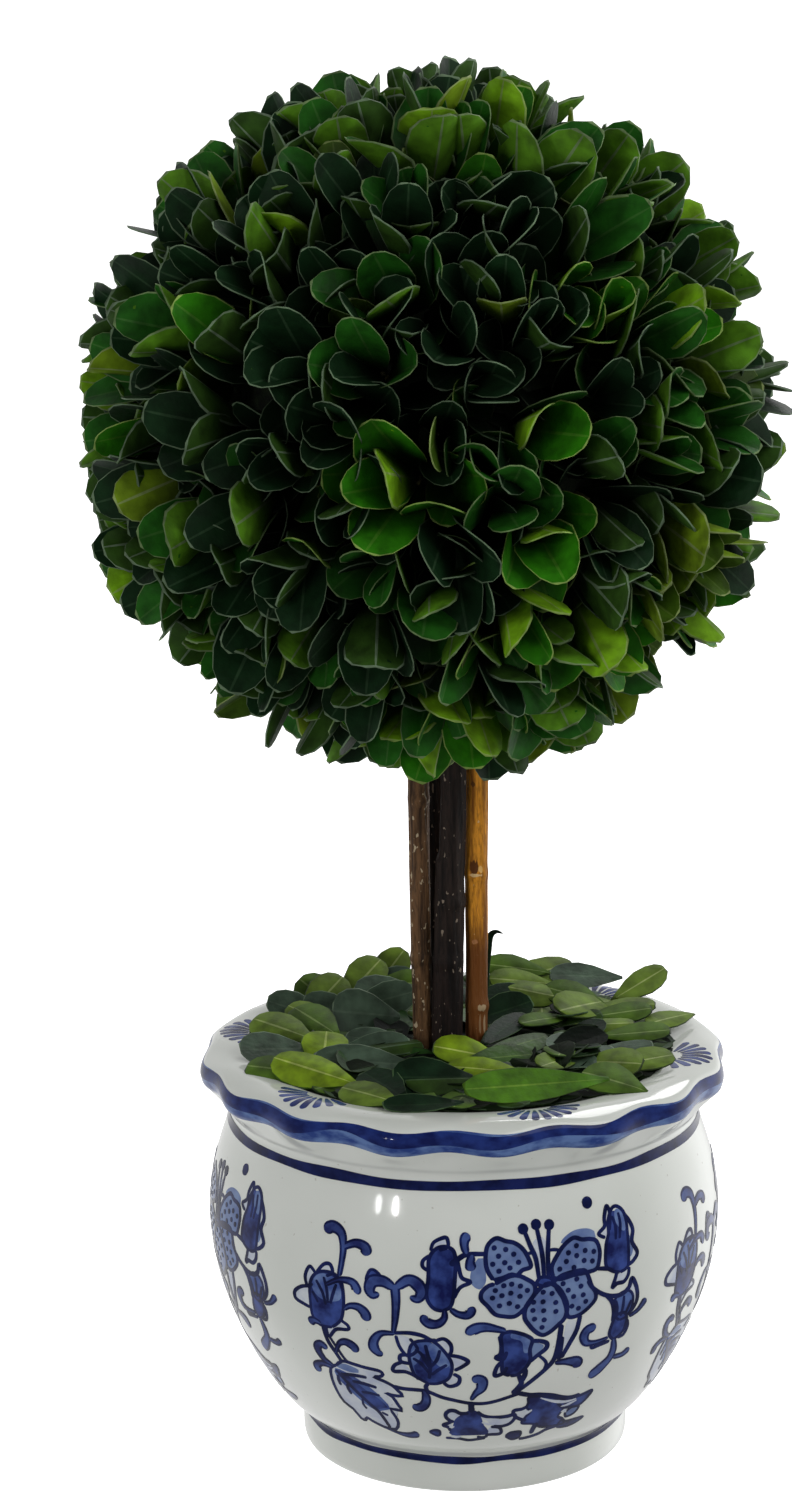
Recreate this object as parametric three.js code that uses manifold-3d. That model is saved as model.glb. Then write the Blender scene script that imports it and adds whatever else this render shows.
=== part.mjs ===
// A small preserved box topiary: a clipped ball of box leaves on four sticks, set in a
// glazed pot with a wavy lip, its mouth dressed with loose box leaves.
// Millimetres, +Z up. The origin is the centre of the pot's flat underside, and the front
// is toward -Y. Angles round the pot run from the front toward +X.

import * as THREE from "three";
import { mergeVertices } from "three/addons/utils/BufferGeometryUtils.js";
import Module from "manifold-3d";

const wasm = await Module();
wasm.setup();

// Driving dimensions

const gap = 0.3; // between pieces that touch
const degree = Math.PI / 180;

const footHeight = 8.2;
const footRadius = 33.4;
const undersideRadius = 31.8;
const bellyRadius = 51.8;
const bellyHeight = 49;
const neckRadius = 47.6;
const neckHeight = 70.5;
const lipRadius = 52.3;
const lipUnder = 78.2;
const lipTop = 83.6;
const lipCrest = 48; // the radius where the lip's broad upper face is highest
const mouthRadius = 40.5;
const mouthHeight = 81;
const throatRadius = 43.4;
const throatHeight = 71;
const wallThickness = 4.2;
const potFloor = 8;
const potSides = 64;
const lipWaves = 16;
const lipWaveOut = 0.6;
const lipWaveDown = 0.35;
const lipWaveStart = 7 * degree;

const fillTop = 76;

const ballRadius = 70.2;
const ballCentre = new THREE.Vector3(-5.6, 0, 209.8);
const coreRadius = 50;
const coreCut = 47; // the core's flat underside, below the ball's centre
const sprigCount = 86;
const leafLength = 21;
const leafWidth = 13.5;
const leafCamber = 1.3;
const twigRadius = 1.1;
const leafTries = 8; // turns that a leaf gets to stand clear of the others

const collarRadius = 39.8;
const collarEdge = 82.8;
const collarCrown = 84;
const collarReach = 44;
const collarBack = 2.6; // how much farther the leaves reach at the back, and less at the front
const collarRim = 26; // leaves rooted past this point outward, over the lip
const collarLeaves = 76;
const collarLeafLength = 17;
const collarLeafWidth = 11;

// Each stick: its foot's and its tip's place, and its radius at each
const stemTip = ballCentre.z - coreCut - gap;
const stemFoot = fillTop + gap;
const stems = {
  stem_left: { foot: [-7.6, -1.5], tip: [-8.6, -1.5], radii: [1.7, 2.0], colour: 0x4a3226 },
  stem_back: { foot: [-5.4, 4.2], tip: [-5.6, 4.6], radii: [2.0, 2.1], colour: 0x2c211c },
  stem_centre: { foot: [-2.9, -3.2], tip: [-1.4, -3.2], radii: [2.55, 2.3], colour: 0x241b18 },
  stem_right: { foot: [3.0, -0.5], tip: [3.4, -0.5], radii: [2.0, 2.1], colour: 0x8a6a44 },
};

// Shared by every piece

function finish(colour, roughness) {
  return new THREE.MeshStandardMaterial({ color: colour, roughness, metalness: 0 });
}

function named(name, geometry, material) {
  const mesh = new THREE.Mesh(geometry, material);
  mesh.name = name;
  return mesh;
}

// The same numbers on every run, from one seed
function seeded(seed) {
  let state = seed;
  return () => {
    state = (Math.imul(state, 1664525) + 1013904223) >>> 0;
    return state / 4294967296;
  };
}

function merged(geometry) {
  geometry.deleteAttribute("normal");
  geometry.deleteAttribute("uv");
  return mergeVertices(geometry, 1e-4);
}

function solid(geometry) {
  const shape = merged(geometry);
  return new wasm.Manifold(
    new wasm.Mesh({
      numProp: 3,
      vertProperties: new Float32Array(shape.attributes.position.array),
      triVerts: new Uint32Array(shape.index.array),
    }),
  );
}

function geometryOf(joined) {
  const mesh = joined.getMesh();
  const geometry = new THREE.BufferGeometry();
  geometry.setAttribute("position", new THREE.BufferAttribute(mesh.vertProperties, 3));
  geometry.setIndex(new THREE.BufferAttribute(mesh.triVerts, 1));
  geometry.computeVertexNormals();
  return geometry;
}

// Joins in pairs, so that no join holds more than it must
function joinAll(solids) {
  let row = solids;
  while (row.length > 1) {
    const next = [];
    for (let i = 0; i < row.length; i += 2) {
      next.push(i + 1 < row.length ? row[i].add(row[i + 1]) : row[i]);
    }
    row = next;
  }
  return row[0];
}

// The largest skin alone: a hollow sealed by the joining is filled, and a loose scrap is dropped
function whole(joined) {
  return joined.decompose().reduce((best, next) => (next.volume() > best.volume() ? next : best));
}

function turned(profile, sides, start = 0) {
  const geometry = new THREE.LatheGeometry(profile, sides, start);
  geometry.rotateX(Math.PI / 2);
  return geometry;
}

const point = (radius, height) => new THREE.Vector2(radius, height);

// The pot: a turned body on a foot, a narrow neck and a thick lip that waves out and down

function potOutside() {
  const body = new THREE.SplineCurve([
    point(footRadius, footHeight),
    point(38.4, 13),
    point(44.6, 23),
    point(49.8, 36),
    point(bellyRadius, bellyHeight),
    point(50.6, 60),
    point(neckRadius, neckHeight),
    point(48.8, 73.8),
    point(lipRadius, lipUnder),
  ]);
  return body.getPoints(14);
}

function potInside() {
  const wall = new THREE.SplineCurve([
    point(mouthRadius, mouthHeight),
    point(mouthRadius + 1.7, mouthHeight - 4.5),
    point(throatRadius, throatHeight),
    point(bellyRadius - wallThickness, bellyHeight),
    point(41.5, 25),
    point(29, potFloor),
  ]);
  return wall.getPoints(6);
}

function pot() {
  const profile = [
    point(0, 0),
    point(undersideRadius, 0),
    point(33, 1.4),
    point(33.2, 4.8),
    ...potOutside(),
    point(lipRadius + 0.4, lipUnder + 1.9),
    point(lipRadius - 0.1, lipTop - 1.7),
    point(lipRadius - 1.3, lipTop - 0.6),
    point(lipCrest, lipTop),
    point(44, lipTop - 0.3),
    point(mouthRadius + 0.7, lipTop - 1),
    ...potInside(),
    point(0, potFloor),
  ];
  const geometry = turned(profile, potSides, lipWaveStart);
  const place = geometry.attributes.position;
  for (let i = 0; i < place.count; i += 1) {
    const [x, y, z] = [place.getX(i), place.getY(i), place.getZ(i)];
    const radius = Math.hypot(x, y);
    if (z < neckHeight || radius <= neckRadius) continue;
    const share = THREE.MathUtils.smoothstep(radius, neckRadius, lipRadius);
    const angle = Math.atan2(x, -y) - lipWaveStart;
    const wave = share * Math.cos(lipWaves * angle);
    const out = 1 + (lipWaveOut * wave) / radius;
    place.setXYZ(i, x * out, y * out, z - lipWaveDown * wave);
  }
  return named("pot", merged(geometry), finish(0xe9ecee, 0.15));
}

// The foam that fills the pot and holds the sticks, clear of the wall all round

function potFill() {
  const wall = potInside().filter((p) => p.y < fillTop - 1 && p.y > potFloor + 2);
  const profile = [
    point(0, fillTop),
    point(mouthRadius + 1.7 - 2 * gap, fillTop),
    ...wall.map((p) => point(p.x - 2 * gap, p.y)),
    point(28, potFloor + gap),
    point(0, potFloor + gap),
  ].reverse();
  return named("pot_fill", merged(turned(profile, 32)), finish(0x6b6a4a, 0.95));
}

// One stick: a tapering rod from a flat cut on the fill to a flat cut under the ball's core

function stick(foot, tip, radii, spare = 0, sides = 14) {
  const low = stemFoot - 4 * spare;
  const high = stemTip + 4 * spare;
  const length = high - low;
  const geometry = new THREE.CylinderGeometry(radii[1] + spare, radii[0] + spare, length, sides, 4);
  geometry.rotateX(Math.PI / 2);
  geometry.translate(0, 0, (low + high) / 2);
  const place = geometry.attributes.position;
  for (let i = 0; i < place.count; i += 1) {
    const share = (place.getZ(i) - stemFoot) / (stemTip - stemFoot);
    const x = place.getX(i) + foot[0] + (tip[0] - foot[0]) * share;
    const y = place.getY(i) + foot[1] + (tip[1] - foot[1]) * share;
    place.setXY(i, x, y);
  }
  return geometry;
}

function nearStick(p, spare) {
  const share = (p.z - stemFoot) / (stemTip - stemFoot);
  if (share > 1.001) return false;
  return Object.values(stems).some(({ foot, tip, radii }) => {
    const x = foot[0] + (tip[0] - foot[0]) * share;
    const y = foot[1] + (tip[1] - foot[1]) * share;
    return Math.hypot(p.x - x, p.y - y) < Math.max(...radii) + spare;
  });
}

// A box leaf: a blunt blade of five sides, widest past its middle, crowned on its upper side

const leafOutline = [
  [0, 0],
  [0.56, -0.5],
  [1, -0.2],
  [1, 0.2],
  [0.56, 0.5],
];

function leafPoints(base, along, up, length, width, camber) {
  const across = new THREE.Vector3().crossVectors(up, along).normalize();
  const crown = new THREE.Vector3().crossVectors(along, across).normalize();
  const at = (share, side, lift) =>
    base
      .clone()
      .addScaledVector(along, share * length)
      .addScaledVector(across, side * width)
      .addScaledVector(crown, lift);
  return [...leafOutline.map(([share, side]) => at(share, side, 0)), at(0.5, 0, camber)];
}

function leafGeometry(corners) {
  const geometry = new THREE.BufferGeometry();
  geometry.setFromPoints(corners);
  geometry.setIndex([0, 1, 5, 1, 2, 5, 2, 3, 5, 3, 4, 5, 4, 0, 5, 0, 2, 1, 0, 3, 2, 0, 4, 3]);
  return geometry;
}

function facingOut(shape) {
  if (shape.volume() > 0) return shape;
  throw new Error("a leaf is inside out");
}

// A three-sided twig from its root to its tip

function twigGeometry(root, tip, radius) {
  const along = tip.clone().sub(root);
  const length = along.length();
  const geometry = new THREE.CylinderGeometry(radius * 0.5, radius, length, 3, 1);
  geometry.translate(0, length / 2, 0);
  const turn = new THREE.Quaternion().setFromUnitVectors(
    new THREE.Vector3(0, 1, 0),
    along.normalize(),
  );
  geometry.applyQuaternion(turn);
  geometry.translate(root.x, root.y, root.z);
  return geometry;
}

// Directions spread evenly over a ball, by the golden angle
function evenDirection(i, count) {
  const height = 1 - (2 * i + 1) / count;
  const ring = Math.sqrt(1 - height * height);
  const angle = i * Math.PI * (3 - Math.sqrt(5));
  return new THREE.Vector3(ring * Math.cos(angle), ring * Math.sin(angle), height);
}

// The ball: sprigs stand out of a core, each with crossed pairs of leaves up to the clipped face

const sprigRings = [
  { share: 0.2, lean: 64 },
  { share: 0.58, lean: 46 },
  { share: 0.95, lean: 24 },
];

function apart(leaf, others) {
  return others.every(
    ({ middle, shape }) =>
      middle.distanceTo(leaf.middle) > leafLength || leaf.shape.intersect(shape).isEmpty(),
  );
}

// One leaf on a sprig, or null where it would touch a stick. It is cut to the ball's own radius.
function sprigLeaf(sprig, ring, side, random) {
  const { share, lean } = sprigRings[ring];
  const { out, root, tip } = sprig;
  const away = side.clone().applyAxisAngle(out, 0.9 * (random() - 0.5));
  const tilt = (lean + 22 * (random() - 0.5)) * degree;
  const along = out.clone().multiplyScalar(Math.cos(tilt)).addScaledVector(away, Math.sin(tilt));
  const up = out.clone().addScaledVector(away, -0.2);
  up.addScaledVector(away.clone().cross(out), 0.7 * (random() - 0.5));
  const base = root.clone().lerp(tip, share).addScaledVector(along, -0.4 * twigRadius);
  const size = 0.88 + 0.24 * random();
  const room = ballRadius - 0.15 - base.distanceTo(ballCentre);
  const length = Math.min(leafLength * size, room / Math.cos(tilt * 0.8));
  const corners = leafPoints(base, along, up, length, leafWidth * size, leafCamber);
  const outside = corners.some((p) => p.distanceTo(ballCentre) > ballRadius);
  const touching = corners.some((p) => nearStick(p, 2.2));
  if (outside || touching) return null;
  return { middle: corners[5], shape: facingOut(solid(leafGeometry(corners))) };
}

function foliageBall() {
  const random = seeded(20717);
  const core = new THREE.IcosahedronGeometry(coreRadius, 3);
  const place = core.attributes.position;
  for (let i = 0; i < place.count; i += 1) {
    place.setZ(i, Math.max(place.getZ(i), -coreCut));
  }
  core.translate(ballCentre.x, ballCentre.y, ballCentre.z);
  const twigs = [];
  const leaves = [];
  for (let i = 0; i < sprigCount; i += 1) {
    const out = evenDirection(i, sprigCount);
    const shift = new THREE.Vector3(random() - 0.5, random() - 0.5, random() - 0.5);
    out.addScaledVector(shift, 0.14).normalize();
    const sprig = {
      out,
      root: ballCentre.clone().addScaledVector(out, coreRadius - 4),
      tip: ballCentre.clone().addScaledVector(out, ballRadius - leafLength * 0.62),
    };
    if (nearStick(sprig.tip, 3)) continue;
    twigs.push(solid(twigGeometry(sprig.root, sprig.tip, twigRadius)));
    const side = new THREE.Vector3(0.31, 0.52, 0.79).cross(out).normalize();
    side.applyAxisAngle(out, random() * Math.PI);
    for (let k = 0; k < 2 * sprigRings.length; k += 1) {
      const ring = Math.floor(k / 2);
      const facing = side.clone().applyAxisAngle(out, (k % 2) * Math.PI + (ring * Math.PI) / 2);
      for (let attempt = 0; attempt < leafTries; attempt += 1) {
        const leaf = sprigLeaf(sprig, ring, facing, random);
        if (leaf === null || !apart(leaf, leaves)) continue;
        leaves.push(leaf);
        break;
      }
    }
  }
  const shape = joinAll([solid(core), ...twigs, ...leaves.map((leaf) => leaf.shape)]);
  return named("foliage_ball", geometryOf(whole(shape)), finish(0x3c5a1c, 0.5));
}

// The dressing: loose leaves that lie over each other on a low mound, out onto the lip

function leafCollar() {
  const random = seeded(4127);
  const mound = turned(
    [
      point(0, fillTop + gap),
      point(collarRadius, fillTop + gap),
      point(collarRadius, collarEdge),
      point(36, collarEdge + 0.7),
      point(22, collarCrown),
      point(0, collarCrown - 1),
    ],
    28,
  );
  const pieces = [solid(mound)];
  for (let i = 0; i < collarLeaves; i += 1) {
    const radius = 5 + 29 * Math.sqrt((i + 0.5) / collarLeaves);
    const angle = i * Math.PI * (3 - Math.sqrt(5));
    const spread = radius > collarRim ? 1.5 : 2 * Math.PI;
    const heading = angle + (random() - 0.5) * spread;
    const back = 0.5 - 0.5 * Math.cos(angle); // 0 at the front, 1 at the back
    const rise = 0.11 + 0.08 * back + (0.16 + 0.24 * back) * random() ** 2;
    const size = 0.85 + 0.3 * random();
    const along = new THREE.Vector3(Math.sin(heading), -Math.cos(heading), rise).normalize();
    const up = new THREE.Vector3(0.5 * (random() - 0.5), 0.5 * (random() - 0.5), 1);
    const moundTop = collarCrown - 0.9 * (radius / collarRadius) ** 2;
    const base = new THREE.Vector3(radius * Math.sin(angle), -radius * Math.cos(angle), moundTop - 0.4);
    const corners = leafPoints(
      base, along, up, collarLeafLength * size, collarLeafWidth * size, 1,
    );
    const far = corners.some(
      (p) => Math.hypot(p.x, p.y) > collarReach + collarBack * Math.sin(Math.atan2(p.y, Math.abs(p.x))),
    );
    const sunk = corners.some((p) => Math.hypot(p.x, p.y) > collarRadius && p.z < lipTop + 0.5);
    const touching = corners.some((p) => nearStick(p, 2));
    if (far || sunk || touching) continue;
    pieces.push(facingOut(solid(leafGeometry(corners))));
  }
  const holes = Object.values(stems).map(({ foot, tip, radii }) =>
    solid(stick(foot, tip, radii, gap + 0.1)),
  );
  const joined = holes.reduce((shape, hole) => shape.subtract(hole), joinAll(pieces));
  return named("leaf_collar", geometryOf(whole(joined)), finish(0x5d6a35, 0.6));
}

const topiary = new THREE.Group();
topiary.add(pot(), potFill());
for (const [name, { foot, tip, radii, colour }] of Object.entries(stems)) {
  topiary.add(named(name, merged(stick(foot, tip, radii)), finish(colour, 0.8)));
}
topiary.add(foliageBall(), leafCollar());

export default topiary;
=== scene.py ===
# A small preserved box topiary, as it is put together: the glazed pot and its blue painting,
# the foam in it, four sticks, the foam ball with its sprigs of box, and the loose leaves that
# dress the pot's mouth. Sizes are in millimetres until a mesh is made, which is in metres.

import math

import bpy
import numpy as np
from mathutils import Matrix, Vector


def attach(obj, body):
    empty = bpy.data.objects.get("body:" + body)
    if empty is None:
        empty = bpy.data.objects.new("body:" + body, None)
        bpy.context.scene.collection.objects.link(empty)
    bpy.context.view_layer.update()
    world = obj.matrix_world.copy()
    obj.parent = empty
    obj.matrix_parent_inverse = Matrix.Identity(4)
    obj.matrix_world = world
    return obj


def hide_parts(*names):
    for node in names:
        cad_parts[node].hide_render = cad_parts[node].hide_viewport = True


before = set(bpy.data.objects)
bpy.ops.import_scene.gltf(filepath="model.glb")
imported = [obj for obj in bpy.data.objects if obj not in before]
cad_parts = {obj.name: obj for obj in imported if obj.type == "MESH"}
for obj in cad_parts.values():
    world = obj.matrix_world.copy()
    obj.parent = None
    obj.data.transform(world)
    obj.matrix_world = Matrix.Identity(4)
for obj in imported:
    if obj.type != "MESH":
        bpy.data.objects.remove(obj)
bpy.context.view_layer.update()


# The pot
# Thick white earthenware, thrown on a turned foot and drawn in to a narrow neck, under a broad
# flat lip pressed by hand into sixteen shallow waves while soft. A clear gloss glaze covers it.

MM = 0.001
FOOT_HEIGHT = 8.2
FOOT_RADIUS = 33.4
UNDERSIDE_RADIUS = 31.8
BELLY_RADIUS = 51.8
BELLY_HEIGHT = 49.0
NECK_RADIUS = 47.6
NECK_HEIGHT = 70.5
LIP_RADIUS = 52.3
LIP_UNDER = 78.2
LIP_TOP = 83.6
LIP_CREST = 48.0
MOUTH_RADIUS = 40.5
MOUTH_HEIGHT = 81.0
THROAT_RADIUS = 43.4
THROAT_HEIGHT = 71.0
WALL = 4.2
POT_FLOOR = 8.0
LIP_WAVES = 16
LIP_WAVE_OUT = 0.6
LIP_WAVE_DOWN = 0.35
LIP_WAVE_START = math.radians(7)


def curve_through(points, steps):
    """Smooth curve through the points. Each stretch is the cubic whose slope at a point is half
    the step from the point before it to the one after, in `steps` equal parts."""
    p = np.asarray(points, float)
    before = np.vstack([p[:1], p[:-2]])
    after = np.vstack([p[2:], p[-1:]])
    slope_in, slope_out = (p[1:] - before) / 2, (after - p[:-1]) / 2
    t = (np.arange(steps) / steps)[None, :, None]
    a, b = p[:-1, None], p[1:, None]
    m, n = slope_in[:, None], slope_out[:, None]
    run = (2 * t**3 - 3 * t**2 + 1) * a + (t**3 - 2 * t**2 + t) * m
    run = run + (3 * t**2 - 2 * t**3) * b + (t**3 - t**2) * n
    return np.vstack([run.reshape(-1, p.shape[1]), p[-1:]])


def smooth_share(low, high, value):
    """0 at low, 1 at high, and 3x² - 2x³ between them."""
    x = np.clip((value - low) / (high - low), 0, 1)
    return x * x * (3 - 2 * x)


def turned(angle, radius, height):
    """The point at that angle from the front toward +X. Above the neck the radius grows, and the
    height falls, by the cosine of sixteen times the angle, more so toward the lip's edge."""
    share = smooth_share(NECK_RADIUS, LIP_RADIUS, radius) * (height >= NECK_HEIGHT)
    wave = share * np.cos(LIP_WAVES * (angle - LIP_WAVE_START))
    r = radius + LIP_WAVE_OUT * wave
    z = height - LIP_WAVE_DOWN * wave
    return np.stack(np.broadcast_arrays(r * np.sin(angle), -r * np.cos(angle), z), axis=-1)


def grid_faces(rows, columns, around=False):
    """Quads of a grid of vertices numbered along each row, with its last column joined to its
    first where it goes around."""
    steps = np.arange(columns if around else columns - 1)
    i, j = np.meshgrid(np.arange(rows - 1), steps, indexing="ij")
    k = (j + 1) % columns
    low, high = i * columns, (i + 1) * columns
    return np.stack([low + j, low + k, high + k, high + j], -1).reshape(-1, 4)


def closed_rings(rings, ends=None):
    """Points and faces of rings one above another, closed by a fan from each end ring to its
    middle, or to the point given for it."""
    rows, columns = rings.shape[:2]
    if ends is None:
        ends = rings[[0, -1]].mean(axis=1)
    near = np.arange(columns)
    far = np.roll(near, -1)
    end, last = rows * columns, (rows - 1) * columns
    foot = np.stack([np.full(columns, end), far, near], -1)
    head = np.stack([np.full(columns, end + 1), last + near, last + far], -1)
    faces = [*grid_faces(rows, columns, around=True).tolist(), *foot.tolist(), *head.tolist()]
    return np.vstack([rings.reshape(-1, 3), ends]), faces


def piece(name, points, faces, materials, face_material=None, sharp=None):
    """A mesh object at the origin from points in millimetres, smooth but for edges past `sharp`."""
    mesh = bpy.data.meshes.new(name)
    mesh.from_pydata((np.asarray(points) * MM).reshape(-1, 3).tolist(), [], faces)
    for each in materials:
        mesh.materials.append(each)
    if face_material is not None:
        mesh.polygons.foreach_set("material_index", np.asarray(face_material, np.int32))
    mesh.polygons.foreach_set("use_smooth", np.ones(len(mesh.polygons), bool))
    if sharp is not None:
        mesh.set_sharp_from_angle(angle=math.radians(sharp))
    made = bpy.data.objects.new(name, mesh)
    bpy.context.scene.collection.objects.link(made)
    return made


class Part:
    """One socket in a material. Sums, differences and products add Math nodes."""

    def __init__(self, tree, socket):
        self.tree, self.socket = tree, socket

    def node(self, kind, settings=None, sockets=None, output=0):
        """Adds any other node: its settings first, a ramp's stops among them, then its sockets."""
        made = self.tree.nodes.new("ShaderNode" + kind)
        for key, value in (settings or {}).items():
            if key == "stops":
                ramp = made.color_ramp.elements
                while len(ramp) < len(value):
                    ramp.new(0.5)
                for stop, (place, colour) in zip(ramp, value):
                    stop.position = place
                    stop.color = (*colour, 1)
            else:
                setattr(made, key, value)
        for key, value in (sockets or {}).items():
            socket = made.inputs[key]
            if isinstance(value, Part):
                self.tree.links.new(value.socket, socket)
            else:
                socket.default_value = (*value, 1) if socket.type == "RGBA" else value
        return Part(self.tree, made.outputs[output])

    def sum_of(self, operation, a, b):
        """The Math node for one operation on two values."""
        return self.node("Math", {"operation": operation}, {0: a, 1: b})

    def __add__(self, other):
        return self.sum_of("ADD", self, other)

    def __sub__(self, other):
        return self.sum_of("SUBTRACT", self, other)

    def __rsub__(self, other):
        return self.sum_of("SUBTRACT", other, self)

    def __mul__(self, other):
        return self.sum_of("MULTIPLY", self, other)

    __radd__, __rmul__ = __add__, __mul__

    def noise(self, scale, detail=3.0, stretch=(1, 1, 1)):
        """Noise on these coordinates, stretched along the axes, in features a metre."""
        at = self.node("Mapping", None, {"Vector": self, "Scale": stretch})
        return at.node("TexNoise", None, {"Vector": at, "Scale": scale, "Detail": detail})

    def tint(self, *stops):
        """This value turned into a colour by a ramp of (place, colour) stops."""
        return self.node("ValToRGB", {"stops": stops}, {0: self})

    def over(self, under, top):
        """The colour `under` with `top` laid on it by this value's share."""
        return self.node("Mix", {"data_type": "RGBA"}, {0: self, 6: under, 7: top}, output=2)

    def blended(self, kind, other):
        """This colour multiplied by another, or another added to it."""
        settings = {"data_type": "RGBA", "blend_type": kind}
        return self.node("Mix", settings, {0: 1.0, 6: self, 7: other}, output=2)


def linear(red, green, blue):
    """A colour given in screen values from 0 to 255, as light values: by a straight line near
    black and a power of 2.4 above it."""
    share = np.array([red, green, blue]) / 255
    light = np.where(share > 0.04045, ((share + 0.055) / 1.055) ** 2.4, share / 12.92)
    return tuple(light.tolist())


def material(name, build, **fixed):
    """A principled material. build(place) gets the Object coordinates and returns links by socket
    name, and a Bump is told by a (strength, distance, height) under Bump."""
    made = bpy.data.materials.new(name)
    made.use_nodes = True
    tree = made.node_tree
    shader = tree.nodes["Principled BSDF"]
    for key, value in fixed.items():
        shader.inputs[key.replace("_", " ")].default_value = value
    coordinates = tree.nodes.new("ShaderNodeTexCoord")
    place = Part(tree, coordinates.outputs["Object"])
    links = build(place)
    bump = links.pop("Bump", None)
    if bump:
        strength, distance, height = bump
        links["Normal"] = place.node(
            "Bump", None, {"Strength": strength, "Distance": distance, "Height": height}
        )
    for key, part in links.items():
        tree.links.new(part.socket, shader.inputs[key])
    return made


def glaze_look(place):
    """White glaze that pools a little greyer, with the slow ripple of a fired surface."""
    cloud = place.noise(28)
    speck = place.noise(900, 1).tint((0.2, (1, 1, 1)), (0.23, (0, 0, 0)))
    white = cloud.tint((0.3, linear(227, 231, 224)), (0.7, linear(237, 240, 234)))
    return {
        "Base Color": (speck * 0.35).over(white, linear(150, 140, 120)),
        "Roughness": cloud * 0.06 + 0.07,
        "Bump": (0.25, 0.0012, place.noise(55, 1)),
    }


glaze = material("pot_glaze", glaze_look, Coat_Weight=0.3, Coat_Roughness=0.03, IOR=1.42)

body_curve = curve_through(
    [
        (FOOT_RADIUS, FOOT_HEIGHT),
        (38.4, 13),
        (44.6, 23),
        (49.8, 36),
        (BELLY_RADIUS, BELLY_HEIGHT),
        (50.6, 60),
        (NECK_RADIUS, NECK_HEIGHT),
        (48.8, 73.8),
        (LIP_RADIUS, LIP_UNDER),
    ],
    9,
)
lip_curve = curve_through(
    [
        (LIP_RADIUS, LIP_UNDER),
        (LIP_RADIUS + 0.4, LIP_UNDER + 1.9),
        (LIP_RADIUS - 0.1, LIP_TOP - 1.7),
        (LIP_RADIUS - 1.3, LIP_TOP - 0.6),
        (LIP_CREST, LIP_TOP),
        (LIP_CREST - 4, LIP_TOP - 0.3),
        (MOUTH_RADIUS + 0.7, LIP_TOP - 1.0),
        (MOUTH_RADIUS, MOUTH_HEIGHT),
    ],
    5,
)
foot_curve = curve_through(
    [
        (UNDERSIDE_RADIUS, 0),
        (32.7, 0.5),
        (33.2, 1.8),
        (33.3, 4.8),
        (FOOT_RADIUS - 0.3, 7.4),
        (FOOT_RADIUS, FOOT_HEIGHT),
    ],
    3,
)
inside_curve = curve_through(
    [
        (MOUTH_RADIUS, MOUTH_HEIGHT),
        (MOUTH_RADIUS + 1.7, MOUTH_HEIGHT - 4.5),
        (THROAT_RADIUS, THROAT_HEIGHT),
        (BELLY_RADIUS - WALL, BELLY_HEIGHT),
        (41.5, 25),
        (29, POT_FLOOR),
    ],
    5,
)
outline = np.vstack([foot_curve[:-1], body_curve[:-1], lip_curve[:-1], inside_curve])
SEGMENTS = 288
angles = np.arange(SEGMENTS) * 2 * math.pi / SEGMENTS


def turned_solid(profile, columns):
    """The profile carried round the axis, closed by a point on the axis at each end."""
    return closed_rings(turned(columns[None, :], profile[:, :1], profile[:, 1:]))


pot = piece("pot_body", *turned_solid(outline, angles), [glaze], sharp=50)
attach(pot, "root")
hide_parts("pot")


# The blue painting
# Cobalt oxide brushed on the dry pot before glazing: a band round the lip's edge, a line at
# the neck and at the foot, six fans of strokes on the lip, and a flowering vine four times round.

PAINT_SUNK = 0.12
PAINT_RADIUS = 50.0
MM_PER_DEGREE = math.radians(1) * PAINT_RADIUS

wall_curve = np.vstack([foot_curve[:-1], body_curve])


def belly_radius(height):
    """The outer wall's radius at that height, from the underside to the lip."""
    return np.interp(height, wall_curve[:, 1], wall_curve[:, 0])


def on_belly(across, height, lift):
    """A point on the outer wall, `across` degrees from the front, lifted along the wall's normal,
    which leans by the wall's slope."""
    slope = (belly_radius(height + 0.3) - belly_radius(height - 0.3)) / 0.6
    out = 1 / np.sqrt(1 + slope**2)
    return turned(np.radians(across), belly_radius(height) + lift * out, height - lift * out * slope)


def film(top, under):
    """A thin closed sheet between two grids of points, with walls round its four sides."""
    rows, columns = top.shape[:2]
    points = np.concatenate([top.reshape(-1, 3), under.reshape(-1, 3)])
    upper = grid_faces(rows, columns)
    lower = upper[:, ::-1] + rows * columns
    number = np.arange(rows * columns).reshape(rows, columns)
    rim = np.concatenate([number[0, :-1], number[:-1, -1], number[-1, :0:-1], number[:0:-1, 0]])
    on = np.roll(rim, -1)
    walls = np.stack([on, rim, rim + rows * columns, on + rows * columns], -1)
    return points, np.concatenate([upper, lower, walls])


class Strokes:
    """Paint of one colour at one height over the glaze, gathered stroke by stroke into a mesh."""

    def __init__(self, lift, paint):
        self.points, self.faces, self.count = [], [], 0
        self.lift, self.paint = lift, paint

    def add(self, place, u, v):
        """A film on the surface place(u, v, lift), over a grid of u and v. Its faces point outward:
        where the grid turns the other way, its columns are swapped."""
        top, under = place(u, v, self.lift), place(u, v, -PAINT_SUNK)
        width = top[0, -1] - top[0, 0]
        turn = np.cross(top[1, 0] - top[0, 0] + top[-1, -1] - top[0, -1], width)
        if np.dot(turn, top[0, 0] - under[0, 0]) > 0:
            top, under = top[:, ::-1], under[:, ::-1]
        points, faces = film(top, under)
        self.points.append(points)
        self.faces.append(faces + self.count)
        self.count += len(points)

    def make(self, name):
        """The strokes as one piece."""
        points, faces = np.concatenate(self.points), np.concatenate(self.faces).tolist()
        made = piece(name, points, faces, [self.paint], sharp=40)
        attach(made, "root")


def run_along(line):
    """How far along a line each of its points is."""
    return np.concatenate([[0], np.cumsum(np.linalg.norm(np.diff(line, axis=0), axis=1))])


def read_at(places, run, values):
    """A line's pairs of values at those places along it."""
    return np.stack([np.interp(places, run, values[:, k]) for k in (0, 1)], -1)


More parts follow.
